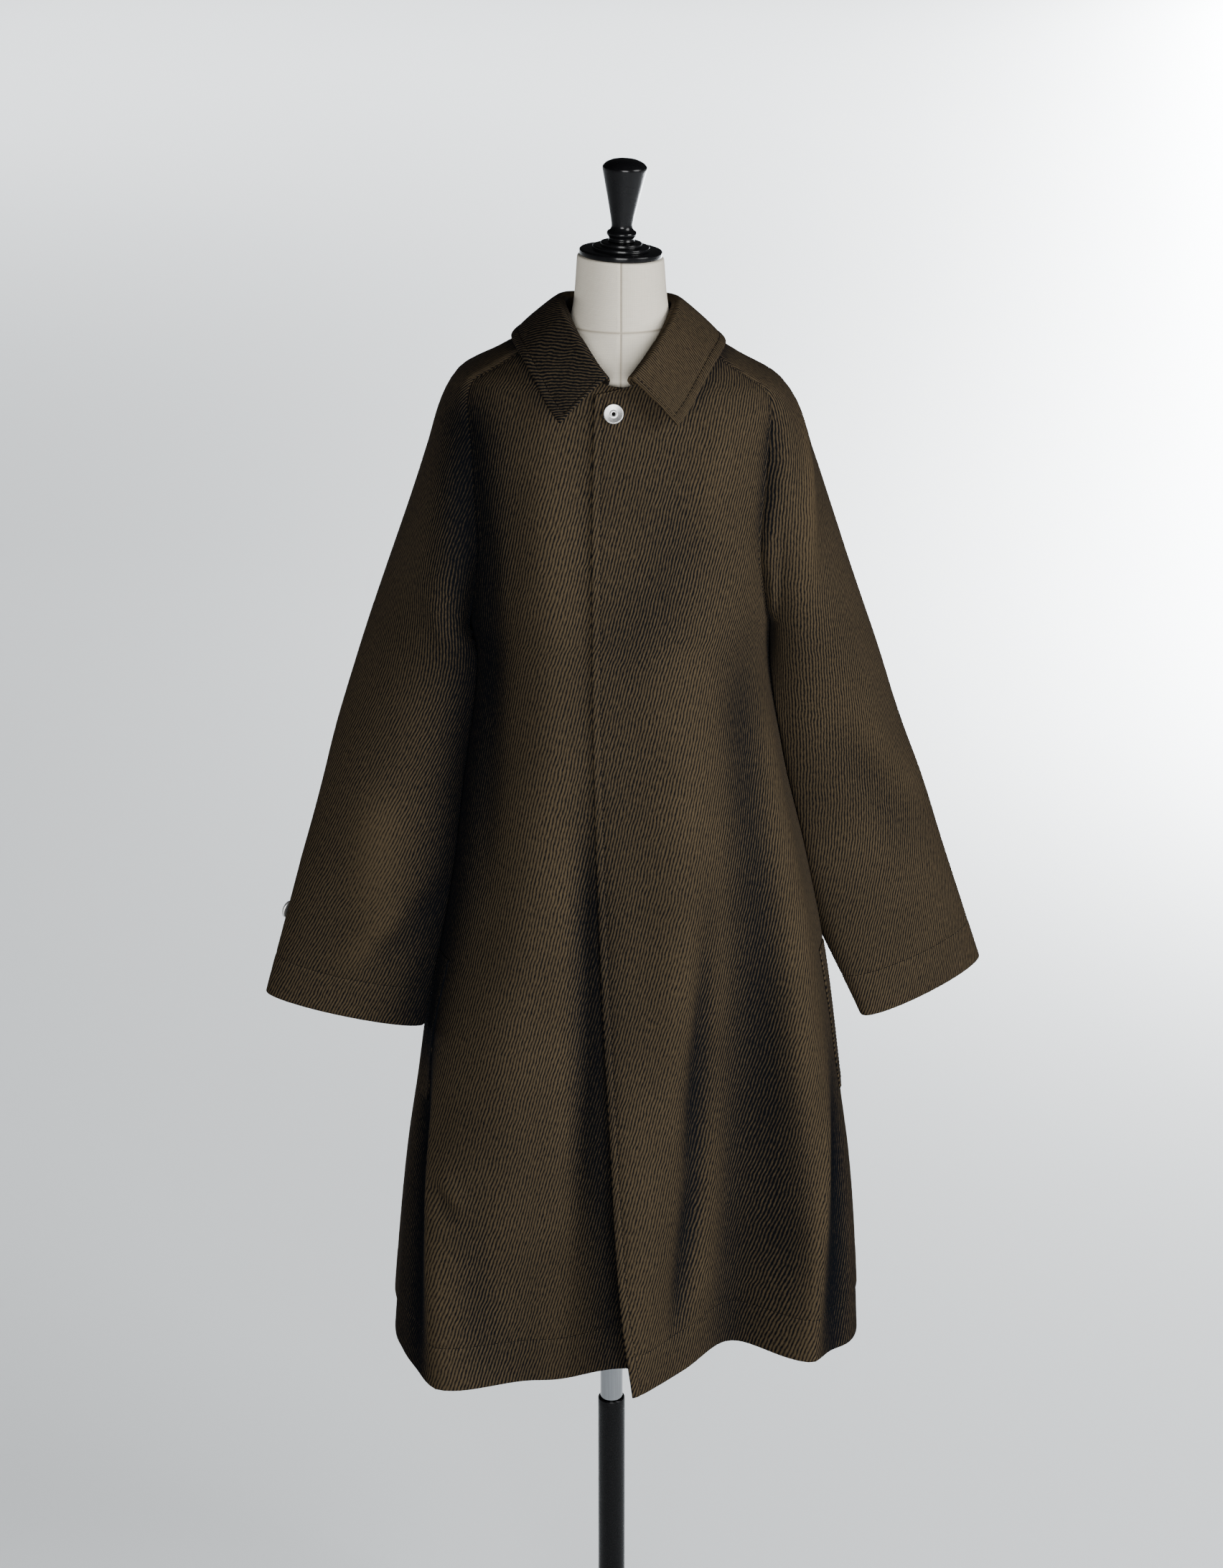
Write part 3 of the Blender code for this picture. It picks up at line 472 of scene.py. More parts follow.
# soft creases on top of them: a line from (s, z) to (s, z), half width, how far it stands out, and
# 1 where it is pressed to an edge; s runs round the front from its middle, the wearer's left positive
frontCreases = columns(
    "s0 z0 s1 z1 width depth edge",
    (0.085, 1.460, 0.012, 1.300, 0.042, -0.0040, 0),  # drag from the chest towards the front edge
    (0.112, 1.530, 0.098, 1.430, 0.030, 0.0065, 0),
    (0.062, 1.250, 0.068, 0.900, 0.034, 0.0080, 0),
    (0.136, 1.290, 0.152, 0.900, 0.034, -0.0085, 0),  # the long hollow down the left front
    (0.152, 0.900, 0.184, 0.560, 0.034, -0.0095, 0),
    (0.180, 1.200, 0.200, 0.800, 0.026, 0.0060, 0),
    (0.078, 1.010, 0.070, 0.700, 0.014, -0.0095, 0),  # narrow hollow beside it
    (0.070, 0.700, 0.056, 0.560, 0.014, -0.0085, 0),
    (0.096, 0.780, 0.086, 0.560, 0.018, 0.0040, 0),
    (0.022, 0.760, 0.016, 0.500, 0.024, 0.0060, 0),
    (0.250, 0.780, 0.234, 0.480, 0.018, -0.0110, 0),
    (0.222, 0.780, 0.204, 0.480, 0.010, 0.0075, 1),  # edge of the flute at the left side
    (-0.070, 1.480, -0.076, 1.180, 0.034, 0.0085, 0),
    (-0.076, 1.180, -0.120, 0.930, 0.036, 0.0090, 0),
    (-0.120, 0.930, -0.106, 0.600, 0.038, 0.0090, 0),
    (-0.140, 1.380, -0.152, 1.060, 0.026, -0.0050, 0),
    (-0.036, 1.100, -0.040, 0.700, 0.024, -0.0060, 0),
    (-0.160, 0.700, -0.150, 0.500, 0.026, -0.0050, 0),
    (-0.246, 0.820, -0.226, 0.480, 0.026, -0.0110, 0),
    (-0.212, 0.780, -0.190, 0.480, 0.014, 0.0080, 1),  # edge of the flute at the right side
    (-0.192, 0.732, -0.172, 0.702, 0.008, 0.0040, 0),  # small pinch by the pocket
    (-0.198, 0.716, -0.178, 0.688, 0.008, -0.0040, 0),
)
tuckCreases = columns("s0 z0 s1 z1 width depth edge", (-0.014, 1.060, 0.000, 0.480, 0.036, -0.0120, 0))
backCreases = columns(
    "s0 z0 s1 z1 width depth edge",
    (-0.120, 1.440, -0.060, 1.250, 0.030, -0.0070, 0),
    (0.125, 1.430, 0.070, 1.240, 0.030, -0.0070, 0),
    (-0.010, 1.500, 0.006, 1.150, 0.040, 0.0060, 0),
    (-0.060, 1.230, -0.085, 0.860, 0.032, 0.0080, 0),
    (0.062, 1.200, 0.090, 0.820, 0.032, 0.0085, 0),
    (0.000, 1.120, 0.004, 0.700, 0.034, -0.0090, 0),
    (-0.160, 1.180, -0.185, 0.760, 0.030, -0.0080, 0),
    (0.155, 1.160, 0.190, 0.780, 0.030, -0.0080, 0),
    (0.120, 0.740, 0.130, 0.520, 0.024, 0.0050, 0),
    (-0.130, 0.700, -0.140, 0.520, 0.022, -0.0050, 0),
    (0.205, 0.740, 0.200, 0.500, 0.015, 0.0060, 1),
)
# how creases die out: over a share of their length, at most so far, and how soft a pressed edge is;
# by the side seam for ridges (from, over) and for hollows, by a sleeve's seam, and below the neck
creaseFade = {
    "share": 0.35, "most": 0.09, "edgeSoft": 0.2,
    "ridge": (0.02, 0.06), "hollow": 0.035, "sleeve": 0.030,
    "top": 1.575, "backTop": 1.580, "topSoft": 0.04,
}
# the armholes lie in a hollow: depth and half width in front by side, and at the back
armholes = {
    1: (0.0060, 0.016), -1: (0.0070, 0.028), "back": (0.0050, 0.018),
    "low": 1.28, "lowSoft": 0.14, "high": 1.57, "highSoft": 0.06, "inwards": (0.35, 0.94),
}
# painted shade where the sleeves and the fronts shut each other in: reach, how much darker the cloth is
# painted, from this height to that one
paintedShadeNear = {1: (0.010, 0.6, 1.38, 1.56), -1: (0.038, 1.0, 0.76, 1.57), "soft": 0.06}
# painted shade and painted light from the cloth's own bend, darker in hollows and lighter on ridges: looked
# for over a reach, full at a depth, less on ridges
foldShade = {"reach": 0.030, "full": 0.0070, "ridges": 0.4}
# painted shading on the fronts: shares of that painted bend shading and of a crease's depth, and painted
# shade past the edge of the flute at each side, where the cloth turns away from the light; the edge drifts
# forwards below a height
frontPaintedShading = {
    "bend": 0.5, "crease": 0.5, "creaseDepth": 0.0105, "ridge": 0.05,
    "paintedFluteShade": 0.48, "fluteEdge": 0.214, "fluteSoft": 0.026, "fluteFade": 0.06,
    "fluteHigh": 0.78, "fluteDrift": 0.070, "fluteTop": 0.98, "fluteTopSoft": 0.22,
}
# the panels come from different places on the bolt, this far along it
clothFrom = {"front": 0.0, "back": 1.0, "sleeve": 2.0, "collar": 3.0, "welt": 4.0}


def creaseDepth(rows, s, z):
    out = np.zeros(np.broadcast(s, z).shape)
    for s0, z0, s1, z1, width, depth, edge in zip(*rows.values()):
        length = math.hypot(s1 - s0, z1 - z0)
        ds, dz = (s1 - s0) / length, (z1 - z0) / length
        run = (s - s0) * ds + (z - z0) * dz
        off = np.abs((s - s0) * dz - (z - z0) * ds) / width
        soft = min(creaseFade["share"] * length, creaseFade["most"])
        fade = ease((run + soft) / (2 * soft)) * ease((length + soft - run) / (2 * soft))
        blunt = creaseFade["edgeSoft"]
        section = np.exp(blunt - np.sqrt(off**2 + blunt**2)) if edge else np.exp(-(off**2))
        out = out + depth * fade * section
    return out


def seamHollow(side, where, fromSeam, z):  # both sides of a seam sink by the same amount, inwards
    depth, half = armholes[where]
    up = ease((z - armholes["low"]) / armholes["lowSoft"])
    down = ease((armholes["high"] - z) / armholes["highSoft"])
    aside, deep = armholes["inwards"]
    inwards = np.array([-aside * side, -deep if where == "back" else deep, 0.0])
    return (depth * up * down * np.exp(-((fromSeam / half) ** 2)))[..., None] * inwards


def swing(folds, place, z):
    out = np.zeros(len(place))
    for middle, width, depth, top in zip(*folds.values()):
        near = np.clip(np.abs(place - middle) / width, 0.0, 1.0)
        out += depth * np.cos(near * math.pi / 2) ** 2 * ease((top - z) / (top - bodyCloth["hem"]))
    return out


def lift(x, z):  # the hem rises and the shoulder falls towards the wearer's left
    top, low = bodyCloth["hemTiltTop"], bodyCloth["hem"]
    hem = bodyCloth["hemTilt"] * (x - bodyCloth["hemTiltFrom"]) * ease((top - z) / (top - low))
    start, end = bodyCloth["leanHeights"]
    past = np.maximum(x - bodyCloth["leanFrom"], 0.0)
    return hem - bodyCloth["lean"] * past * ease((z - start) / (end - start))


def planCurve(rows, z):
    reach, width, square, cut = (along(rows, c, z) for c in ("reach", "width", "square", "cut"))
    end = math.acos(math.copysign(abs(cut / reach) ** (square / 2), cut))
    angle = np.linspace(0.0, end, bodyCloth["planSteps"])
    x = width * np.sin(angle) ** (2 / square)
    y = reach * np.sign(np.cos(angle)) * np.abs(np.cos(angle)) ** (2 / square)
    return x, y, np.concatenate([[0.0], np.cumsum(np.hypot(np.diff(x), np.diff(y)))])


def across(curve, s):
    x, y, known = curve
    side = np.where(s < 0, -1.0, 1.0)
    far = np.abs(s)
    step = bodyCloth["slopeStep"]
    ahead = np.clip(far + step, 0.0, known[-1])
    behind = ahead - 2 * step
    dx = np.interp(ahead, known, x) - np.sign(behind) * np.interp(np.abs(behind), known, x)
    dy = np.interp(ahead, known, y) - np.interp(np.abs(behind), known, y)
    size = np.hypot(dx, dy)
    return side * np.interp(far, known, x), np.interp(far, known, y), side * -dy / size, dx / size


def frontRow(side, z, s):
    curve = planCurve(frontPlan, z)
    x, y, outX, outY = across(curve, s)
    out = swing(leftFolds if side > 0 else rightFolds, s / curve[2][-1], z)
    dip = bodyCloth["hemDip"] * out
    if side < 0:
        full, none = bodyCloth["underlapStep"]
        out = out - (bodyCloth["cloth"] + bodyCloth["layerGap"]) * ease((none - s) / (none - full))
    x = along(frontPlan, "middle", z) + side * (x + out * outX)
    return np.stack([x, -(y + out * outY), z - dip + lift(x, z)], axis=1)


def backRow(z, s):
    curve = planCurve(backPlan, z)
    x, y, outX, outY = across(curve, s)
    out = swing(backFolds, s / curve[2][-1], z)
    x = along(frontPlan, "middle", z) + x + out * outX
    return np.stack([x, y + out * outY, z - bodyCloth["hemDip"] * out + lift(x, z)], axis=1)


def frontStart(side, z):
    def edge(height):
        if side < 0:
            return -bodyCloth["underlap"]
        return along(frontEdge, "x", height) - along(frontPlan, "middle", height)

    if z <= bodyCloth["neckFront"]:
        return edge(z)
    starts = [edge(bodyCloth["neckFront"])]
    for height, x in zip(neckline["height"], neckline["x"]):
        curveX, _, length = planCurve(frontPlan, height)
        starts.append(np.interp(x, curveX, length))
    return np.interp(z, [bodyCloth["neckFront"], *neckline["height"]], starts)


# rows and columns lie close together by an edge, a hem and a row of stitches
nearEdge = np.array([0.0, 0.0005, 0.0014, 0.0030, 0.0046, 0.0064, 0.0080, 0.0096, 0.0125])
nearHem = np.array([0.0, 0.0006, 0.0016, 0.0034, 0.006])
nearStitch = np.array([-0.0045, -0.0022, -0.001, 0.0, 0.001, 0.0022, 0.0045])
closeRows = {"edge": 0.018, "hem": 0.011, "belowStitch": 0.009, "between": 5, "aboveStitch": 0.012}


def spread(start, end, count):  # even columns, closer together by both edges
    inner = np.linspace(start + closeRows["edge"], end - closeRows["edge"], count)
    return np.concatenate([start + nearEdge, inner, end - nearEdge[::-1]])


def rowHeights(foot, stitch, top, count):  # even rows, closer together at the edge and the hem stitches
    between = np.linspace(closeRows["hem"], stitch - closeRows["belowStitch"], closeRows["between"])
    low = np.concatenate([nearHem, between, stitch + nearStitch])
    return np.concatenate([foot + low, np.linspace(foot + stitch + closeRows["aboveStitch"], top, count)])


skirtHeights = rowHeights(
    bodyCloth["hem"], bodyCloth["hemStitch"], bodyCloth["underarm"], bodyCloth["skirtRows"],
)
yokeHeights = np.concatenate([
    np.linspace(bodyCloth["underarm"], bodyCloth["neckFront"], bodyCloth["yokeRows"] + 1)[1:],
    np.linspace(bodyCloth["neckFront"], bodyCloth["neckTop"], bodyCloth["neckRows"] + 1)[1:],
])
bodyHeights = np.concatenate([skirtHeights, yokeHeights])


def frontGrid(side):
    rows, places = [], []
    for z in bodyHeights:
        end = planCurve(frontPlan, z)[2][-1] - bodyCloth["seamGap"] / 2
        s = spread(frontStart(side, z), end, bodyCloth["frontColumns"])
        rows.append(frontRow(side, z, s))
        places.append(s)
    return np.array(rows), np.array(places)


def backGrid():
    rows, places = [], []
    for z in bodyHeights:
        end = planCurve(backPlan, z)[2][-1] - bodyCloth["seamGap"] / 2
        s = spread(-end, end, bodyCloth["backColumns"])
        rows.append(backRow(z, s))
        places.append(s)
    return np.array(rows), np.array(places)


def normalsOf(grid, inside):
    normals = unit(np.cross(np.gradient(grid, axis=1), np.gradient(grid, axis=0)))
    return -normals if np.sum(normals * (grid - inside)) < 0 else normals


def shareNormals(first, second):
    mean = unit(first + second)
    first[:] = mean
    second[:] = mean


def groove(distance, place, half, depth):
    return -depth * np.exp(-(((distance - place) / half) ** 2))


def rounded(distance, reach, depth):  # how far a surface falls away at a rounded edge
    full = 0.98  # just short of a quarter round, so that the last step isn't upright
    near = np.clip(1 - distance / reach, 0.0, 1.0)
    return -depth * (1 - np.sqrt(1 - full * near**2))


def upTheGrid(grid):  # length up the middle of a panel, for each row
    middle = grid[:, grid.shape[1] // 2]
    return np.concatenate([[0.0], np.cumsum(np.linalg.norm(np.diff(middle, axis=0), axis=1))])


# painted fold shading: hollows get painted shade (below 0), ridges painted light (above 0)
def foldTone(outer, out):  # below 0 in a hollow, above 0 on a ridge, row by row
    tone = np.zeros(outer.shape[:2])
    for i, row in enumerate(outer):
        s = np.concatenate([[0.0], np.cumsum(np.linalg.norm(np.diff(row, axis=0), axis=1))])
        line = np.concatenate([2 * row[0] - row[:0:-1], row, 2 * row[-1] - row[-2::-1]])
        place = np.concatenate([-s[:0:-1], s, 2 * s[-1] - s[-2::-1]])
        weight = np.exp(-(((s[:, None] - place) / foldShade["reach"]) ** 2)) * np.gradient(place)
        mean = weight @ line / weight.sum(axis=1, keepdims=True)
        tone[i] = np.sum((row - mean) * out[i], axis=1)
    tone = np.clip((tone - np.median(tone, axis=1, keepdims=True)) / foldShade["full"], -1.0, 1.0)
    return np.where(tone > 0, foldShade["ridges"] * tone, tone)


def treeOf(points):
    tree = KDTree(len(points))
    for n, place in enumerate(points):
        tree.insert(place, n)
    tree.balance()
    return tree


def paintedShadeByWall(side, wall, points, z):  # painted shade: how much darker the cloth is painted beside another wall
    reach, most, low, high = paintedShadeNear[side]
    tree = treeOf(wall.reshape(-1, 3))
    away = np.array([tree.find(p)[2] for p in points.reshape(-1, 3)]).reshape(points.shape[:2])
    between = ease((z - low) / paintedShadeNear["soft"]) * ease((high - z) / paintedShadeNear["soft"])
    return most * np.exp(-((away / reach) ** 2)) * between


def clothWall(name, outer, inner, uv, bulge, tone):
    # closed wall between two grids; bulge rounds the bottom, last, top and first edges
    rows, cols = outer.shape[:2]
    index = np.arange(rows * cols).reshape(rows, cols)
    a, b, c, d = index[:-1, :-1], index[:-1, 1:], index[1:, 1:], index[1:, :-1]
    top = np.stack([a, b, c, d], axis=-1).reshape(-1, 4)
    faces = [top, top[:, ::-1] + rows * cols]
    rim = [(0, j, 0) for j in range(cols - 1)]
    rim += [(i, cols - 1, 1) for i in range(rows - 1)]
    rim += [(rows - 1, j, 2) for j in range(cols - 1, 0, -1)]
    rim += [(i, 0, 3) for i in range(rows - 1, 0, -1)]
    middle = []
    for i, j, edge in rim:
        inward = outer[min(max(i, 1), rows - 2), min(max(j, 1), cols - 2)]
        away = unit(outer[i, j] - inward)
        middle.append((outer[i, j] + inner[i, j]) / 2 + bulge[edge] * away)
    base = 2 * rows * cols
    border = np.array([index[i, j] for i, j, _ in rim])
    following = np.roll(border, -1)
    mid = base + np.arange(len(rim))
    midNext = np.roll(mid, -1)
    faces.append(np.stack([border, mid, midNext, following], axis=1))
    faces.append(np.stack([mid, border + rows * cols, following + rows * cols, midNext], axis=1))
    points = np.concatenate([outer.reshape(-1, 3), inner.reshape(-1, 3), np.array(middle)])
    flat = uv.reshape(-1, 2)
    made = meshPiece(
        name, points, np.concatenate(faces), wool, uv=np.concatenate([flat, flat, flat[border]]), sharp=70,
    )
    # tone is the painted shading of each point: painted shade below 0, painted light above 0
    tone = tone.ravel()
    fold = made.data.attributes.new("fold", "FLOAT", "POINT")
    fold.data.foreach_set("value", np.concatenate([tone, tone, tone[border]]))


coatCore = np.array([0.008, 0.0, 1.1])  # a place inside the coat, to tell outwards from inwards
fronts, frontPlaces = {}, {}
for side in (1, -1):
    fronts[side], frontPlaces[side] = frontGrid(side)
back, backPlaces = backGrid()
frontOut = {side: normalsOf(fronts[side], coatCore) for side in (1, -1)}
backOut = normalsOf(back, coatCore)
print("body of the coat laid out")


# sleeves, sewn into the fronts and the back

sleeveCloth = {
    "middle": 0.008, "underarmX": 0.1545, "underarmReach": 0.12, "seamPull": 4,
    "clear": {1: 0.0008, -1: 0.0036}, "clearWay": 0.05, "seamStep": 0.4, "seamStepTop": 1.40,
    "round": 0.34, "edgeWay": 0.05, "columns": 86, "rows": 58, "cuffStitch": 0.045,
    "calm": (1.14, 1.47, 0.06), "calmRounds": 60, "calmShare": 0.5, "calmOut": (0.4, 0.06),
    "calmFront": {1: 1.0, -1: 0.0}, "calmWay": (0.03, 0.06, 0.5),
    "toneDepth": 0.012, "toneRidge": 0.4,
}
rightSleeve = columns(
    "height x y long short turn rise",
    (0.884, 0.289, -0.048, 0.0835, 0.024, 2, 12),
    (1.030, 0.2530, -0.052, 0.0810, 0.042, 8, 9),
    (1.160, 0.2270, -0.044, 0.0740, 0.050, 22, 4),
    (1.280, 0.2050, -0.032, 0.079, 0.046, 50, 0),
    (1.330, 0.1960, -0.022, 0.088, 0.045, 66, 0),
    (1.400, 0.172, -0.012, 0.094, 0.047, 78, 0),
    (1.480, 0.151, 0.002, 0.090, 0.043, 86, 0),
    (1.525, 0.1395, 0.008, 0.080, 0.041, 90, 0),
    (1.555, 0.125, 0.012, 0.068, 0.038, 95, 0),
    (1.575, 0.093, 0.014, 0.056, 0.033, 100, 0),
    (1.607, 0.047, 0.012, 0.038, 0.021, 100, 0),
)
leftSleeve = columns(
    "height x y long short turn rise",
    (0.855, 0.3305, 0.078, 0.084, 0.024, 37, 12),
    (1.030, 0.262, 0.088, 0.089, 0.051, 32, 9),
    (1.160, 0.230, 0.060, 0.089, 0.0545, 50, 4),
    (1.280, 0.2025, 0.022, 0.089, 0.0555, 72, 0),
    (1.330, 0.194, 0.012, 0.091, 0.047, 80, 0),
    (1.400, 0.1745, 0.001, 0.092, 0.046, 82, 0),
    (1.480, 0.153, 0.004, 0.090, 0.043, 88, 0),
    (1.525, 0.142, 0.008, 0.080, 0.041, 90, 0),
    (1.555, 0.126, 0.012, 0.068, 0.038, 95, 0),
    (1.575, 0.093, 0.014, 0.056, 0.033, 100, 0),
    (1.607, 0.047, 0.012, 0.038, 0.021, 100, 0),
)
# creases of a sleeve: s is the distance round it from its inner seam, over the front
rightSleeveCreases = columns(
    "s0 z0 s1 z1 width depth edge",
    (0.110, 1.010, 0.150, 0.945, 0.018, 0.0045, 0),
    (0.075, 1.040, 0.120, 0.960, 0.018, -0.0040, 0),
    (0.160, 1.130, 0.140, 1.010, 0.028, 0.0050, 0),
    (0.280, 1.090, 0.292, 0.970, 0.022, -0.0050, 0),
    (0.250, 1.220, 0.262, 1.100, 0.024, 0.0012, 0),
)
leftSleeveCreases = columns(
    "s0 z0 s1 z1 width depth edge",
    (0.058, 1.520, 0.050, 1.370, 0.014, 0.0050, 0),
    (0.110, 1.200, 0.150, 1.060, 0.026, 0.0022, 0),
    (0.085, 1.160, 0.120, 1.030, 0.026, -0.0022, 0),
    (0.220, 1.180, 0.240, 1.000, 0.030, -0.0035, 0),
    (0.270, 1.240, 0.260, 1.040, 0.024, 0.0030, 0),
)


def clearOfBody(points, gap):
    z = points[:, 2]
    middle = along(frontPlan, "middle", z)
    x, y = points[:, 0] - middle, points[:, 1]
    width, reach, square = (
        np.where(y < 0, along(frontPlan, c, z), along(backPlan, c, z)) for c in ("width", "reach", "square")
    )
    level = (np.abs(x) / (width + gap)) ** square + (np.abs(y) / (reach + gap)) ** square
    push = np.maximum(level ** (-1 / square), 1.0)
    return np.stack([middle + x * push, y * push, z], axis=1)


def sleeveRow(side, z, way):
    rows = leftSleeve if side > 0 else rightSleeve
    x, y, long, short = (along(rows, c, z) for c in ("x", "y", "long", "short"))
    turn, rise = (math.radians(along(rows, c, z)) for c in ("turn", "rise"))
    cos, sin = math.cos(turn), math.sin(turn)
    gap, low = bodyCloth["seamGap"], bodyCloth["underarm"]

    def angleOf(out, rear):
        return math.atan2((rear * cos - out * sin) / short, (out * cos + rear * sin) / long)

    seam = angleOf(sleeveCloth["underarmX"] - x, -y)
    step = gap / math.hypot(long * math.sin(seam), short * math.cos(seam))
    start, end = seam + step / 2, seam + 2 * math.pi - step / 2
    hold = ease(1 - (low - z) / sleeveCloth["underarmReach"])
    front = rear = np.array([sleeveCloth["middle"] + side * sleeveCloth["underarmX"], 0.0, z])
    if z > low:
        front = frontRow(side, z, planCurve(frontPlan, z)[2][-1:])[0]
        rear = backRow(z, side * planCurve(backPlan, z)[2][-1:])[0]
        start = angleOf(side * (front[0] - sleeveCloth["middle"]) - x, front[1] - y)
        end = angleOf(side * (rear[0] - sleeveCloth["middle"]) - x, rear[1] - y)
        end = start + (end - start) % (2 * math.pi)
    angle = start + way * (end - start)
    ahead, aside = long * np.cos(angle), short * np.sin(angle)
    out, rearward = ahead * cos - aside * sin, ahead * sin + aside * cos
    points = np.stack(
        [sleeveCloth["middle"] + side * (x + out), y + rearward, z + out * math.tan(rise)], axis=1,
    )
    toFront, toRear = hold * (front - points[0]), hold * (rear - points[-1])
    toFront[2] = toRear[2] = 0.0
    pull = sleeveCloth["seamPull"]
    points = points + np.outer((1 - way) ** pull, toFront) + np.outer(way**pull, toRear)
    near = 1.0
    if z > low:
        near = ease(np.minimum(way, 1 - way) / sleeveCloth["clearWay"])
        top = sleeveCloth["seamStepTop"]
        near = np.maximum(near, sleeveCloth["seamStep"] * ease((top - z) / (top - low)))
    points = clearOfBody(points, sleeveCloth["clear"][side] * near)
    if z > low:
        points[:, 2] += lift(points[:, 0], z)
    points[0] += gap / 2 * unit(points[1] - points[0])
    points[-1] += gap / 2 * unit(points[-2] - points[-1])
    return points


def sleeveGrid(side):
    cuff = (leftSleeve if side > 0 else rightSleeve)["height"][0]
    low = rowHeights(cuff, sleeveCloth["cuffStitch"], bodyCloth["underarm"], sleeveCloth["rows"])
    heights = np.concatenate([low, yokeHeights])
    edge, start = nearEdge / sleeveCloth["round"], sleeveCloth["edgeWay"]
    way = np.concatenate([edge, np.linspace(start, 1 - start, sleeveCloth["columns"]), 1 - edge[::-1]])
    return np.array([sleeveRow(side, z, way) for z in heights]), heights, way


def calmed(side, grid, heights, way):  # smooths the turn of the sleeve by the underarm, away from the body
    out = side * (grid[..., 0] - grid[..., 0].mean(axis=1, keepdims=True))
    base, reach = sleeveCloth["calmOut"]
    start, over, end = sleeveCloth["calmWay"]
    ahead = sleeveCloth["calmFront"][side] * ease((way - start) / over) * (way < end)
    near = sleeveCloth["calmShare"] * np.maximum(ease(base + out / reach), ahead)
    low, high, soft = sleeveCloth["calm"]
    share = near * (ease((heights - low) / soft) * ease((high - heights) / soft))[:, None]
    for _ in range(sleeveCloth["calmRounds"]):
        middle = (grid[:-2] + grid[2:]) / 2
        grid[1:-1] += share[1:-1, :, None] * (middle - grid[1:-1])
    for row in grid[heights < bodyCloth["underarm"]]:
        row[:] = clearOfBody(row, sleeveCloth["clear"][side])
    return grid


sleeves, sleeveHeights, sleeveOut = {}, {}, {}
lower = len(rowHeights(0.0, sleeveCloth["cuffStitch"], 1.0, sleeveCloth["rows"]))
skirt = len(skirtHeights)
for side in (1, -1):
    sleeves[side], sleeveHeights[side], way = sleeveGrid(side)
    sleeves[side] = calmed(side, sleeves[side], sleeveHeights[side], way)
    sleeveOut[side] = normalsOf(sleeves[side], sleeves[side].mean(axis=1, keepdims=True))
    rear = backOut[:, -1] if side > 0 else backOut[:, 0]
    shareNormals(sleeveOut[side][:lower, 0], sleeveOut[side][:lower, -1])
    shareNormals(frontOut[side][:skirt, -1], rear[:skirt])
    shareNormals(frontOut[side][skirt:, -1], sleeveOut[side][lower:, 0])
    shareNormals(rear[skirt:], sleeveOut[side][lower:, -1])
print("sleeves laid out")

# creases, hem and edge stitching pressed into the cloth, then the walls
panels = {}


def pressed(grid, out, depth, edges, hemLine, hemFold):
    # depth moves both faces; edges and hem shape the outer one and round the rim
    base = grid + depth[..., None] * out
    outer = base + (edges + hemLine)[..., None] * out
    inner = base - (bodyCloth["cloth"] - hemFold)[..., None] * out
    return outer, inner


def hemShape(height, foot, stitch, count):
    up = (height - foot)[:, None] * np.ones((1, count))
    line = groove(up, stitch, *bodyCloth["hemGroove"])
    line = line + bodyCloth["hemPlump"] * ease((stitch - up) / bodyCloth["hemPlumpSoft"])
    fall = rounded(up, *bodyCloth["hemRound"])
    return line + fall, -fall


def clothPlace(s, grid, start):  # where each point of a panel lies on the flat cloth
    return np.stack([s + start, np.broadcast_to(upTheGrid(grid)[:, None], s.shape)], axis=-1)


for side, name in ((1, "left"), (-1, "right")):
    s, z = frontPlaces[side], bodyHeights[:, None]
    fromEdge, toSeam = s - s[:, :1], s[:, -1:] - s
    depth = creaseDepth(frontCreases, side * s, z)
    if side < 0:
        depth = depth + creaseDepth(tuckCreases, side * s, z)
    start, over = creaseFade["ridge"]
    ridgeFade, hollowFade = ease((toSeam - start) / over), ease(toSeam / creaseFade["hollow"])
    depth = depth * np.where(depth > 0, ridgeFade, hollowFade)
    depth = depth * ease((creaseFade["top"] - z) / creaseFade["topSoft"])
    edges = rounded(fromEdge, *bodyCloth["edgeRound"]) + rounded(toSeam, *bodyCloth["seamRound"])
    if side > 0:
        edges = edges + groove(fromEdge, bodyCloth["edgeStitch"], *bodyCloth["stitchGroove"])
        plump = ease((bodyCloth["edgeStitch"] - fromEdge) / bodyCloth["edgePlumpSoft"])
        edges = edges + bodyCloth["edgePlump"] * plump
    sewn = ease((z - bodyCloth["underarm"]) / bodyCloth["sewnSoft"])
    edges = edges + sewn * groove(toSeam, bodyCloth["seamStitch"], *bodyCloth["stitchGroove"])
    hemLine, hemFold = hemShape(bodyHeights, bodyCloth["hem"], bodyCloth["hemStitch"], s.shape[1])
    sunk = fronts[side] + seamHollow(side, side, toSeam, z)
    outer, inner = pressed(sunk, frontOut[side], depth, edges, hemLine, hemFold)
    panels["front_" + name] = (outer, frontOut[side])
    # the fronts' painted shading: painted shade in hollows and creases, painted light on ridges, and
    # painted shade on the turned side past the flute and beside the sleeve
    tone = frontPaintedShading["crease"] * np.clip(depth / frontPaintedShading["creaseDepth"], -1.0, frontPaintedShading["ridge"])
    tone = tone + frontPaintedShading["bend"] * foldTone(outer, frontOut[side])
    drift = frontPaintedShading["fluteDrift"] * np.maximum(frontPaintedShading["fluteHigh"] - z, 0.0)
    sideShadeMask = ease((s - frontPaintedShading["fluteEdge"] + drift) / frontPaintedShading["fluteSoft"])
    sideShadeMask = sideShadeMask * ease(toSeam / frontPaintedShading["fluteFade"])
    sideShadeMask = sideShadeMask * ease((frontPaintedShading["fluteTop"] - z) / frontPaintedShading["fluteTopSoft"])
    tone = tone - frontPaintedShading["paintedFluteShade"] * sideShadeMask - paintedShadeByWall(side, sleeves[side], outer, z)
    uv = clothPlace(side * s, fronts[side], clothFrom["front"])
    clothWall("coat_front_" + name, outer, inner, uv, bulge=bodyCloth["frontRim"], tone=tone)

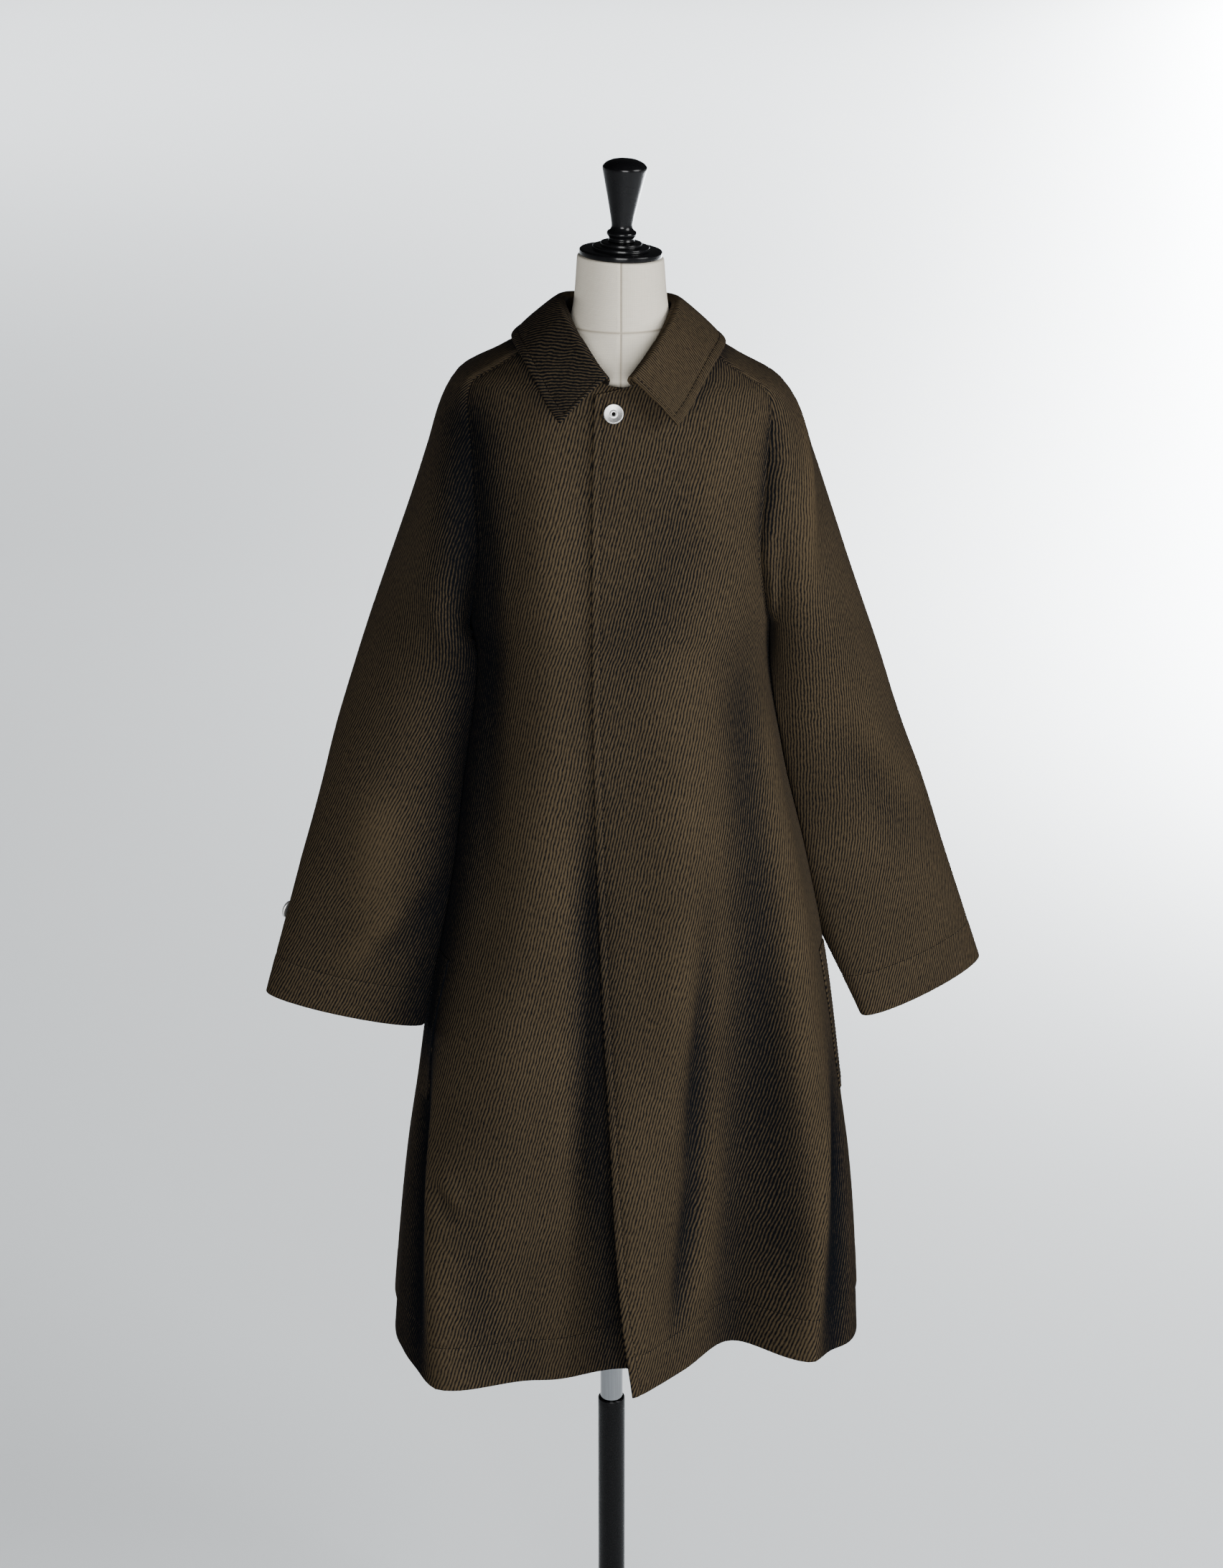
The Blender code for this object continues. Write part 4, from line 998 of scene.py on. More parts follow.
s, z = backPlaces, bodyHeights[:, None]
fromEdge, toSeam = s - s[:, :1], s[:, -1:] - s
nearest = np.minimum(fromEdge, toSeam)
depth = creaseDepth(backCreases, s, z) * ease(nearest / creaseFade["hollow"])
depth = depth * ease((creaseFade["backTop"] - z) / creaseFade["topSoft"])
sewn = ease((z - bodyCloth["underarm"]) / bodyCloth["sewnSoft"])
edges = rounded(nearest, *bodyCloth["seamRound"])
edges = edges + sewn * groove(nearest, bodyCloth["seamStitch"], *bodyCloth["stitchGroove"])
hemLine, hemFold = hemShape(bodyHeights, bodyCloth["hem"], bodyCloth["hemStitch"], s.shape[1])
sunk = back + seamHollow(1, "back", toSeam, z) + seamHollow(-1, "back", fromEdge, z)
outer, inner = pressed(sunk, backOut, depth, edges, hemLine, hemFold)
panels["back"] = (outer, backOut)
uv = clothPlace(-s, back, clothFrom["back"])
# the back's painted fold shading: painted shade in its hollows, painted light on its ridges
clothWall("coat_back", outer, inner, uv, bulge=bodyCloth["rim"], tone=foldTone(outer, backOut))

for side, name in ((1, "left"), (-1, "right")):
    grid, z = sleeves[side], sleeveHeights[side][:, None]
    steps = np.linalg.norm(np.diff(grid, axis=1), axis=2)
    s = np.concatenate([np.zeros((len(grid), 1)), np.cumsum(steps, axis=1)], axis=1)
    nearest = np.minimum(s, s[:, -1:] - s)
    depth = creaseDepth(leftSleeveCreases if side > 0 else rightSleeveCreases, s, z)
    depth = depth * ease(nearest / creaseFade["sleeve"])
    depth = depth * ease((creaseFade["top"] - z) / creaseFade["topSoft"])
    edges = rounded(nearest, *bodyCloth["seamRound"])
    hemLine, hemFold = hemShape(
        sleeveHeights[side], sleeveHeights[side][0], sleeveCloth["cuffStitch"], s.shape[1],
    )
    sunk = grid + seamHollow(side, side, s, z) + seamHollow(side, "back", s[:, -1:] - s, z)
    outer, inner = pressed(sunk, sleeveOut[side], depth, edges, hemLine, hemFold)
    panels["sleeve_" + name] = (outer, sleeveOut[side])
    # a sleeve's painted shading: painted shade in its creases' hollows, painted light on their ridges, and
    # painted shade beside its front
    tone = np.clip(depth / sleeveCloth["toneDepth"], -1.0, sleeveCloth["toneRidge"])
    tone = tone - paintedShadeByWall(side, fronts[side], outer, z)
    middle = s.shape[1] // 2
    uv = clothPlace(side * (s - s[:, middle:middle + 1]), grid, clothFrom["sleeve"])
    clothWall("coat_sleeve_" + name, outer, inner, uv, bulge=bodyCloth["rim"], tone=tone)
print("panels sewn together")


# collar, turned down over its stand

collarCloth = {
    "cloth": 0.0030, "middle": 0.007, "foot": 0.0010, "roll": 0.0042, "drop": (0.006, 0.45),
    # shares of the roll and of its drop before and after the top, then places down the leaf
    "rollUp": (0.72, 0.25), "rollOver": (0.80, 0.25), "leaf": (0.22, 0.60), "bulge": (0.0012, 0.0010),
    "steps": 54, "tail": 0.45, "columns": 150, "rim": (0.0006, 0.0006, 0.0006, 0.0),
    "edgeStitch": 0.0090, "stitchGroove": (0.0016, 0.0008), "plump": 0.0004, "plumpSoft": 0.002,
    "round": (0.0032, 0.0012), "leafFrom": 0.45, "leafSoft": 0.1, "leafLonger": 1.6,
    # the last rows also hold painted shading: painted shade and painted light on the two ends of the
    # collar, and a painted shadow under the edge of its leaf
    "flatRadius": 0.57, "flatMiddle": 0.4, "flatTurn": 12.0, "paintedEndShading": (-0.38, 0.14),
    "paintedShadeNear": (0.008, 0.9), "paintedShadeFrom": 1.45, "paintedShadeColumns": 8,
}
nearLeafEdge = np.array([0.36, 0.31, 0.27, 0.235, 0.20, 0.15, 0.09, 0.045, 0.018, 0.0])
# the fold and the edge of the leaf; here height is the way from a front end to the middle of the back
collarLine = columns(
    "height rollX rollY rollZ edgeX edgeY edgeZ",
    (0.00, 0.012, -0.104, 1.573, 0.057, -0.124, 1.533),
    (0.14, 0.027, -0.089, 1.588, 0.069, -0.109, 1.547),
    (0.29, 0.042, -0.064, 1.605, 0.081, -0.091, 1.566),
    (0.44, 0.0545, -0.033, 1.620, 0.096, -0.058, 1.586),
    (0.58, 0.0605, 0.004, 1.629, 0.106, -0.010, 1.594),
    (0.78, 0.051, 0.046, 1.626, 0.087, 0.078, 1.584),
    (1.00, 0.000, 0.068, 1.621, 0.000, 0.113, 1.557),
)


def throughKnots(knots, place):
    k = min(int(place), len(knots) - 2)
    t = place - k
    before, after = knots[max(k - 1, 0)], knots[min(k + 2, len(knots) - 1)]
    a, b = knots[k], knots[k + 1]
    bend = 2 * before - 5 * a + 4 * b - after
    twist = 3 * a - before - 3 * b + after
    return a + 0.5 * (b - before) * t + 0.5 * bend * t**2 + 0.5 * twist * t**3


def collarGrid(neck):
    # even columns along the neckline, closer together at the front ends
    length = np.concatenate([[0.0], np.cumsum(np.linalg.norm(np.diff(neck, axis=0), axis=1))])
    even = spread(0.0, length[-1], collarCloth["columns"])
    foot = np.stack([np.interp(even, length, neck[:, i]) for i in range(3)], axis=1)
    half = 1 - np.abs(2 * even / length[-1] - 1)
    side = np.where(even < length[-1] / 2, -1.0, 1.0)
    line = {c: along(collarLine, c, half) for c in collarLine if c != "height"}
    roll, edge = (
        np.stack([collarCloth["middle"] + side * line[c + "X"], line[c + "Y"], line[c + "Z"]], axis=1)
        for c in ("roll", "edge")
    )
    for row in (roll, edge):
        row[:, 2] += lift(row[:, 0], bodyCloth["neckTop"])
    run = np.gradient(roll, axis=0)
    out = unit(np.stack([-run[:, 1], run[:, 0], 0 * run[:, 0]], axis=1))
    out *= np.sign(np.sum(out * (edge - roll), axis=1))[:, None]
    up = np.array([0.0, 0.0, 1.0])
    foot = foot + collarCloth["foot"] * up
    most, share = collarCloth["drop"]
    drop = np.minimum(most, share * (roll - foot)[:, 2])[:, None] * up
    leaf = edge - roll
    bulge = collarCloth["bulge"][0] * up + collarCloth["bulge"][1] * out
    rolled = collarCloth["roll"] * out
    upOut, upDrop = collarCloth["rollUp"]
    overOut, overDrop = collarCloth["rollOver"]
    high, low = collarCloth["leaf"]
    knots = np.array([
        foot, roll - rolled - drop, roll - upOut * rolled - upDrop * drop, roll,
        roll + overOut * rolled - overDrop * drop,
        roll + high * leaf + bulge, roll + low * leaf + bulge, edge,
    ])
    last = len(knots) - 1
    downIt = np.linspace(0, last - collarCloth["tail"], collarCloth["steps"])
    places = np.concatenate([downIt, last - nearLeafEdge])
    return np.swapaxes(np.array([throughKnots(knots, p) for p in places]), 0, 1), even


neckRows = bodyCloth["neckRows"] - 1  # the lowest row still crosses the middle
# from one front end round to the other, without the crowded points at the seams
neck = np.concatenate([
    fronts[-1][-neckRows:, 0], sleeves[-1][-1, 3:-2], back[-1, 1:-1],
    sleeves[1][-1, 3:-2][::-1], fronts[1][-neckRows:, 0][::-1],
])
grid, even = collarGrid(neck)
out = unit(np.cross(np.gradient(grid, axis=0), np.gradient(grid, axis=1)))
steps = np.linalg.norm(np.diff(grid, axis=1), axis=2)
down = np.concatenate([np.zeros((len(grid), 1)), np.cumsum(steps, axis=1)], axis=1)
toEdge = down[:, -1:] - down
# the leaf runs longer than the neckline
ends = np.minimum(even, even[-1] - even)[:, None] * collarCloth["leafLonger"] * np.ones_like(down)
onLeaf = ease((down / down[:, -1:] - collarCloth["leafFrom"]) / collarCloth["leafSoft"])
nearest = np.minimum(toEdge, ends)
thick = collarCloth["cloth"]
pressedIn = groove(nearest, collarCloth["edgeStitch"], *collarCloth["stitchGroove"]) * onLeaf
plump = ease((collarCloth["edgeStitch"] - nearest) / collarCloth["plumpSoft"])
plump = collarCloth["plump"] * plump * onLeaf
softEdge = rounded(nearest, *collarCloth["round"])
face = thick / 2 + pressedIn + plump + softEdge
under = thick / 2 + softEdge
outer, inner = grid + face[..., None] * out, grid - under[..., None] * out
# the collar is cut on a curve, so its wales swing round from one end to the other
radius = collarCloth["flatRadius"]
turn = (even - even[-1] / 2)[:, None] / radius
fromCentre = radius + down - down[:, -1:] * collarCloth["flatMiddle"]
flatX, flatY = fromCentre * np.sin(turn), fromCentre * np.cos(turn) - radius
spin = math.radians(collarCloth["flatTurn"])
alongBolt = flatX * math.cos(spin) - flatY * math.sin(spin) + clothFrom["collar"]
uv = np.stack([alongBolt, flatX * math.sin(spin) + flatY * math.cos(spin)], axis=-1)
panels["collar"] = (outer, out)
# painted shade on the end at the wearer's right and painted light on the end at the wearer's left, blended
# from one end to the other
firstEndShading, lastEndShading = collarCloth["paintedEndShading"]
paintedEndShading = firstEndShading + (lastEndShading - firstEndShading) * ease(even / even[-1])
tone = np.broadcast_to(paintedEndShading[:, None], down.shape)
clothWall("coat_collar", outer, inner, uv, bulge=collarCloth["rim"], tone=tone)
# painted shadow: the cloth close under the edge of the leaf is painted darker, as the shadow the leaf casts
# on it
leafEdge = treeOf(inner[:, -collarCloth["paintedShadeColumns"]:].reshape(-1, 3))
closeBy, most = collarCloth["paintedShadeNear"]
for name in ("coat_front_left", "coat_front_right", "coat_sleeve_left", "coat_sleeve_right"):
    mesh = bpy.data.objects[name].data
    fold = mesh.attributes["fold"].data
    for vertex in mesh.vertices:
        if vertex.co.z > collarCloth["paintedShadeFrom"]:
            fold[vertex.index].value -= most * math.exp(-((leafEdge.find(vertex.co)[2] / closeBy) ** 2))
print("collar turned down")


# slanted welts of the side pockets

weltCloth = {
    "cloth": 0.0018, "gap": 0.0003, "heights": (0.785, 0.955), "width": 0.030, "rim": (0.0004,) * 4,
    # how far round to the side seam, at the foot and at the top
    "place": {1: (0.88, 0.80), -1: (0.80, 0.70)},
    "rows": 40, "rowBand": 0.008, "columns": 12, "columnBand": 0.006,
    "round": (0.0030, 0.0007), "stitch": (0.0040, 0.0012, 0.0004), "shade": 0.6,
}
nearWeltEdge = np.array([0.0, 0.0005, 0.0014, 0.003])


def pocketWelt(side, name):
    low, high = weltCloth["heights"]
    foot, top = weltCloth["place"][side]
    width, band = weltCloth["width"], weltCloth["rowBand"]
    heights = np.linspace(low + band, high - band, weltCloth["rows"])
    heights = np.concatenate([low + nearWeltEdge, heights, high - nearWeltEdge[::-1]])
    band = weltCloth["columnBand"]
    share = np.linspace(band, width - band, weltCloth["columns"])
    share = np.concatenate([nearWeltEdge, share, width - nearWeltEdge[::-1]])
    rows, places, ends = [], [], []
    for z in heights:
        t = (z - low) / (high - low)
        end = planCurve(frontPlan, z)[2][-1]
        start = (foot * (1 - t) + top * t) * end
        rows.append(frontRow(side, z, start + share))
        places.append(start + share)
        ends.append(end)
    grid, s, z = np.array(rows), np.array(places), heights[:, None]
    out = normalsOf(grid, coatCore)
    toSeam = np.array(ends)[:, None] - s
    depth = creaseDepth(frontCreases, side * s, z) * ease(toSeam / creaseFade["hollow"])
    aside = np.minimum(share, width - share)[None, :]
    rim = np.minimum(aside, np.minimum(heights - low, high - heights)[:, None])
    under = grid + (depth + weltCloth["gap"])[..., None] * out
    thick = weltCloth["cloth"] + rounded(rim, *weltCloth["round"]) + groove(rim, *weltCloth["stitch"])
    outer = under + thick[..., None] * out
    uv = np.stack([side * s + clothFrom["welt"], np.broadcast_to(z, s.shape)], axis=-1)
    panels["welt_" + name] = (outer, out)
    # painted shade on the welt, as on the turned side of the front around it, and beside the sleeve
    weltSideShade = weltCloth["shade"] * frontPaintedShading["paintedFluteShade"]
    weltSideShade = weltSideShade * ease((frontPaintedShading["fluteTop"] - z) / frontPaintedShading["fluteTopSoft"])
    tone = -paintedShadeByWall(side, sleeves[side], outer, z) - weltSideShade
    clothWall("pocket_welt_" + name + "_cloth", outer, under, uv, bulge=weltCloth["rim"], tone=tone)


for side, name in ((1, "left"), (-1, "right")):
    pocketWelt(side, name)
print("pockets welted")


# stitches, one small thread bead after another along the sewn lines

stitching = {
    "pitch": 0.0046, "length": 0.0036, "width": 0.0010, "height": 0.0007, "sink": 0.0001,
    "sides": 6, "rings": 4,
    # where the rows run: heights, columns and rows of a panel, and a share of the collar's columns
    "frontEdge": (0.493, 1.552), "armholeFrom": 1.285, "hemFrom": {1: 8.5, -1: 0.5}, "inset": 0.5,
    "weltRow": 2, "weltColumn": 3.35, "leafFrom": 0.56,
}
# how many points mark each row
stitchMarks = {
    "edge": 260, "hem": 160, "armhole": 150, "cuff": 220, "welt": 60, "backHem": 300,
    "collarEnd": 40, "collarEdge": 400,
}


def stitchTree():
    tree = bpy.data.node_groups.new("stitch_row", "GeometryNodeTree")
    tree.interface.new_socket("Geometry", in_out="INPUT", socket_type="NodeSocketGeometry")
    for name in ("Pitch", "Length", "Width", "Height"):
        tree.interface.new_socket(name, in_out="INPUT", socket_type="NodeSocketFloat")
    tree.interface.new_socket("Thread", in_out="INPUT", socket_type="NodeSocketMaterial")
    tree.interface.new_socket("Geometry", in_out="OUTPUT", socket_type="NodeSocketGeometry")
    given = addNode(tree, "NodeGroupInput").outputs
    line = addNode(tree, "GeometryNodeMeshToCurve", {"Mesh": given["Geometry"]})
    spaced = addNode(
        tree, "GeometryNodeResampleCurve",
        {"Curve": line.outputs[0], "Length": given["Pitch"]}, mode="LENGTH",
    )
    run = addNode(tree, "GeometryNodeInputTangent")
    outward = addNode(
        tree, "GeometryNodeInputNamedAttribute", {"Name": "outward"}, data_type="FLOAT_VECTOR",
    )
    lying = addNode(tree, "FunctionNodeAlignRotationToVector", {"Vector": run.outputs[0]}, axis="X")
    facing = addNode(
        tree, "FunctionNodeAlignRotationToVector",
        {"Rotation": lying.outputs[0], "Vector": outward.outputs[0]}, axis="Z", pivot_axis="X",
    )
    bead = addNode(
        tree, "GeometryNodeMeshUVSphere",
        {"Segments": stitching["sides"], "Rings": stitching["rings"], "Radius": 0.5},
    )
    # the bead's poles point along the row
    tipped = addNode(
        tree, "GeometryNodeTransform",
        {"Geometry": bead.outputs["Mesh"], "Rotation": (0.0, math.pi / 2, 0.0)},
    )
    size = addNode(
        tree, "ShaderNodeCombineXYZ", {"X": given["Length"], "Y": given["Width"], "Z": given["Height"]},
    )
    shaped = addNode(
        tree, "GeometryNodeTransform", {"Geometry": tipped.outputs[0], "Scale": size.outputs[0]},
    )
    placed = addNode(
        tree, "GeometryNodeInstanceOnPoints",
        {"Points": spaced.outputs[0], "Instance": shaped.outputs[0], "Rotation": facing.outputs[0]},
    )
    real = addNode(tree, "GeometryNodeRealizeInstances", {"Geometry": placed.outputs[0]})
    smooth = addNode(tree, "GeometryNodeSetShadeSmooth", {"Geometry": real.outputs[0]})
    coloured = addNode(
        tree, "GeometryNodeSetMaterial", {"Geometry": smooth.outputs[0], "Material": given["Thread"]},
    )
    addNode(tree, "NodeGroupOutput", {"Geometry": coloured.outputs[0]})
    return tree


def onPanel(panel, rows, cols):  # points and normals at places between a panel's rows and columns
    grid, out = panels[panel]
    rows, cols = np.broadcast_arrays(np.asarray(rows, float), np.asarray(cols, float))
    i = np.clip(rows.astype(int), 0, grid.shape[0] - 2)
    j = np.clip(cols.astype(int), 0, grid.shape[1] - 2)
    a, b = (rows - i)[:, None], (cols - j)[:, None]

    def blend(g):
        low = g[i, j] * (1 - b) + g[i, j + 1] * b
        high = g[i + 1, j] * (1 - b) + g[i + 1, j + 1] * b
        return low * (1 - a) + high * a

    return blend(grid), unit(blend(out))


def rowOf(heights, z):
    return np.interp(z, heights, np.arange(len(heights)))


stitchLines = []
inset, backCols = stitching["inset"], back.shape[1]
edgeColumn = np.interp(bodyCloth["edgeStitch"], nearEdge, np.arange(len(nearEdge)))
seamColumn = np.interp(bodyCloth["seamStitch"], nearEdge, np.arange(len(nearEdge)))
hemRow = rowOf(bodyHeights, bodyCloth["hem"] + bodyCloth["hemStitch"])
low, high = (rowOf(bodyHeights, z) for z in stitching["frontEdge"])
stitchLines.append(onPanel("front_left", np.linspace(low, high, stitchMarks["edge"]), edgeColumn))
armholeFoot = rowOf(bodyHeights, stitching["armholeFrom"])
sewnRows = np.linspace(armholeFoot, len(bodyHeights) - 2, stitchMarks["armhole"])
for side, name in ((1, "left"), (-1, "right")):
    cols = panels["front_" + name][0].shape[1]
    alongHem = np.linspace(stitching["hemFrom"][side], cols - 1 - inset, stitchMarks["hem"])
    stitchLines.append(onPanel("front_" + name, hemRow, alongHem))
    stitchLines.append(onPanel("front_" + name, sewnRows, cols - 1 - seamColumn))
    stitchLines.append(onPanel("back", sewnRows, backCols - 1 - seamColumn if side > 0 else seamColumn))
    cuffRow = rowOf(sleeveHeights[side], sleeveHeights[side][0] + sleeveCloth["cuffStitch"])
    alongCuff = np.linspace(inset, sleeves[side].shape[1] - 1 - inset, stitchMarks["cuff"])
    stitchLines.append(onPanel("sleeve_" + name, cuffRow, alongCuff))
    weltRows, weltCols = panels["welt_" + name][0].shape[:2]
    upWelt = np.linspace(stitching["weltRow"], weltRows - 1 - stitching["weltRow"], stitchMarks["welt"])
    for column in (stitching["weltColumn"], weltCols - 1 - stitching["weltColumn"]):
        stitchLines.append(onPanel("welt_" + name, upWelt, column))
alongHem = np.linspace(inset, backCols - 1 - inset, stitchMarks["backHem"])
stitchLines.append(onPanel("back", hemRow, alongHem))
# round the collar: one end, the outer edge, the other end
collarRows, collarCols = panels["collar"][0].shape[:2]
fromEdge = np.arange(collarCols)[::-1]
outerColumn = [np.interp(collarCloth["edgeStitch"], row[::-1], fromEdge) for row in toEdge]
endRow = np.interp(collarCloth["edgeStitch"] / collarCloth["leafLonger"], even, np.arange(collarRows))
leafStart = stitching["leafFrom"] * (collarCols - 1)
firstEnd = np.linspace(leafStart, outerColumn[int(endRow)], stitchMarks["collarEnd"])
edgeRows = np.linspace(endRow, collarRows - 1 - endRow, stitchMarks["collarEdge"])
edgeCols = np.interp(edgeRows, np.arange(collarRows), outerColumn)
endRows = np.full(stitchMarks["collarEnd"], endRow)
route = np.concatenate([endRows, edgeRows, collarRows - 1 - endRows])
stitchLines.append(onPanel("collar", route, np.concatenate([firstEnd, edgeCols, firstEnd[::-1]])))

points, ups, edges = [], [], []
for place, up in stitchLines:
    first = len(points)
    points += (place + stitching["sink"] * up).tolist()
    ups += up.tolist()
    edges += [(first + k, first + k + 1) for k in range(len(place) - 1)]
guide = bpy.data.meshes.new("stitch_lines")
guide.from_pydata(points, edges, [])
outward = guide.attributes.new("outward", "FLOAT_VECTOR", "POINT")
outward.data.foreach_set("vector", np.array(ups).ravel())
guideObject = bpy.data.objects.new("stitch_lines", guide)
bpy.context.scene.collection.objects.link(guideObject)
tree = stitchTree()
modifier = guideObject.modifiers.new("stitches", "NODES")
modifier.node_group = tree
socketId = {item.name: item.identifier for item in tree.interface.items_tree if item.in_out == "INPUT"}
for name in ("Pitch", "Length", "Width", "Height"):
    modifier[socketId[name]] = stitching[name.lower()]
modifier[socketId["Thread"]] = thread
evaluated = guideObject.evaluated_get(bpy.context.evaluated_depsgraph_get())
stitchMesh = bpy.data.meshes.new_from_object(evaluated)
stitchMesh.name = "stitches"
guideObject.modifiers.remove(modifier)
bpy.data.objects.remove(guideObject)
stitches = bpy.data.objects.new("stitches", stitchMesh)
bpy.context.scene.collection.objects.link(stitches)
print("stitches sewn:", len(stitchMesh.polygons), "faces")


# turned pieces: buttons, cap, knob and stand

def turnedPiece(name, profile, look, steps=96, matrix=None, loop=False, sharp=35, paintedEyeShade=None):
    ring = np.linspace(0, 2 * math.pi, steps, endpoint=False)
    points, rows = [], []
    for radius, height in profile:
        if radius < 1e-7:  # on the axis
            rows.append([len(points)] * steps)
            points.append((0.0, 0.0, height))
        else:
            rows.append(list(range(len(points), len(points) + steps)))
            points += [(radius * math.cos(a), radius * math.sin(a), height) for a in ring]
    faces = []
    pairs = list(zip(rows, rows[1:])) + ([(rows[-1], rows[0])] if loop else [])
    for low, high in pairs:
        for j in range(steps):
            k = (j + 1) % steps
            face = [low[j], low[k], high[k], high[j]]
            face = [v for n, v in enumerate(face) if v not in face[:n]]
            if len(face) > 2:
                faces.append(face)
    points = np.array(points)
    # points within the eye carry the painted shade of the button's hole
    dark = np.hypot(points[:, 0], points[:, 1]) < (paintedEyeShade or 0.0)
    if matrix is not None:
        points = np.array([matrix @ Vector(p) for p in points])
    made = meshPiece(name, points, faces, look, sharp=sharp)
    if paintedEyeShade:
        made.data.attributes.new("paintedEyeShade", "FLOAT", "POINT").data.foreach_set("value", dark.astype(float))


def softProfile(profile, radius, arc=4):  # rounds the corners of a profile
    most = 0.45  # of a side, so that two corners don't meet
    line = [np.array(p, float) for p in profile]
    out = [line[0]]
    for before, here, after in zip(line, line[1:], line[2:]):
        a, b = before - here, after - here
        size = min(radius, most * np.linalg.norm(a), most * np.linalg.norm(b))
        start, end = here + size * unit(a), here + size * unit(b)
        for t in np.linspace(0, 1, arc):
            out.append((1 - t) ** 2 * start + 2 * t * (1 - t) * here + t * t * end)
    return out + [line[-1]]


buttonShape = {
    "place": (0.002, 1.538), "patch": 0.006, "gap": 0.0012, "corner": 0.0004, "steps": 72, "paintedEyeShade": 0.0018,
}
neckButtonProfile = (
    (0.0000, 0.0000), (0.0092, 0.0000), (0.0098, 0.0008), (0.0098, 0.0021), (0.0092, 0.0028),
    (0.0086, 0.0027), (0.0044, 0.0012), (0.0036, 0.0013), (0.0030, 0.0016), (0.0024, 0.0014),
    (0.0019, 0.0010), (0.0017, 0.0003), (0.0000, 0.0003),
)


def standingOn(point, direction, gap):
    turn = Vector((0, 0, 1)).rotation_difference(Vector(direction)).to_matrix().to_4x4()
    return Matrix.Translation(Vector(point) + gap * Vector(direction)) @ turn


x, z = buttonShape["place"]
patchSteps = buttonShape["patch"] * np.array([-1.0, 0.0, 1.0])
s = x - along(frontPlan, "middle", z) + patchSteps
patch = np.array([frontRow(1, z + step, s) for step in patchSteps])
turnedPiece(
    "button_at_neck", softProfile(neckButtonProfile, buttonShape["corner"]), nickel,
    steps=buttonShape["steps"], paintedEyeShade=buttonShape["paintedEyeShade"],
    matrix=standingOn(patch[1, 1], normalsOf(patch, coatCore)[1, 1], buttonShape["gap"]),
)
cuffButtons = {
    "height": 0.975, "way": {1: 0.55, -1: 0.69}, "wayPerMetre": 2, "corePoints": 22,
    "steps": 64, "paintedEyeShade": 0.0012,
}
cuffButtonProfile = (
    (0.0000, 0.0000), (0.0094, 0.0000), (0.0100, 0.0010), (0.0100, 0.0024), (0.0092, 0.0033),
    (0.0082, 0.0031), (0.0040, 0.0021), (0.0013, 0.0018), (0.0011, 0.0010), (0.0000, 0.0010),
)
for side, name in ((1, "left"), (-1, "right")):
    height = cuffButtons["height"]
    way = cuffButtons["way"][side] + cuffButtons["wayPerMetre"] * patchSteps
    patch = np.array([sleeveRow(side, height + step, way) for step in patchSteps])
    core = sleeveRow(side, height, np.linspace(0, 1, cuffButtons["corePoints"])).mean(axis=0)
    turnedPiece(
        "button_at_cuff_" + name, softProfile(cuffButtonProfile, buttonShape["corner"]), nickel,
        steps=cuffButtons["steps"], paintedEyeShade=cuffButtons["paintedEyeShade"],
        matrix=standingOn(patch[1, 1], normalsOf(patch, core)[1, 1], buttonShape["gap"]),
    )
print("buttons sewn on")


# dress form under the coat, its neck bare above the collar

formShape = {
    "middle": 0.009, "neckSeam": 1.606, "seamHalf": 0.0009, "seamDepth": 0.0009, "seamTone": 0.55,
    "capTilt": 2.7, "leanFrom": 1.61, "rim": (0.0012, 0.0016),
    # rows of the body and of the neck, and columns of each side, between the close ones
    "body": (1.5, 70), "neckFrom": 1.506, "neckRows": 34, "seamBand": 0.006, "topBand": 0.003,
    "sideColumns": 50, "sideBand": 0.1,
}
nearNeckSeam = 0.0012 * np.array([-3, -1.6, -0.8, -0.3, 0, 0.3, 0.8, 1.6, 3])
nearMiddleSeam = 0.012 * np.array([-6, -3.5, -2, -1, -0.4, 0, 0.4, 1, 2, 3.5, 6])  # radians
nearTop = np.array([0.0016, 0.0006, 0.0])
formPlan = columns(
    "height width front back",
    (0.860, 0.138, 0.090, 0.104), (0.900, 0.150, 0.104, 0.118), (0.960, 0.153, 0.111, 0.124),
    (1.050, 0.138, 0.105, 0.112), (1.150, 0.117, 0.097, 0.094), (1.250, 0.128, 0.114, 0.104),
    (1.330, 0.136, 0.126, 0.114), (1.420, 0.137, 0.116, 0.117), (1.490, 0.146, 0.096, 0.107),
    (1.530, 0.141, 0.088, 0.091), (1.560, 0.115, 0.078, 0.074), (1.585, 0.078, 0.063, 0.059),
    (1.605, 0.054, 0.053, 0.051), (1.625, 0.047, 0.046, 0.047), (1.672, 0.043, 0.043, 0.044),
)


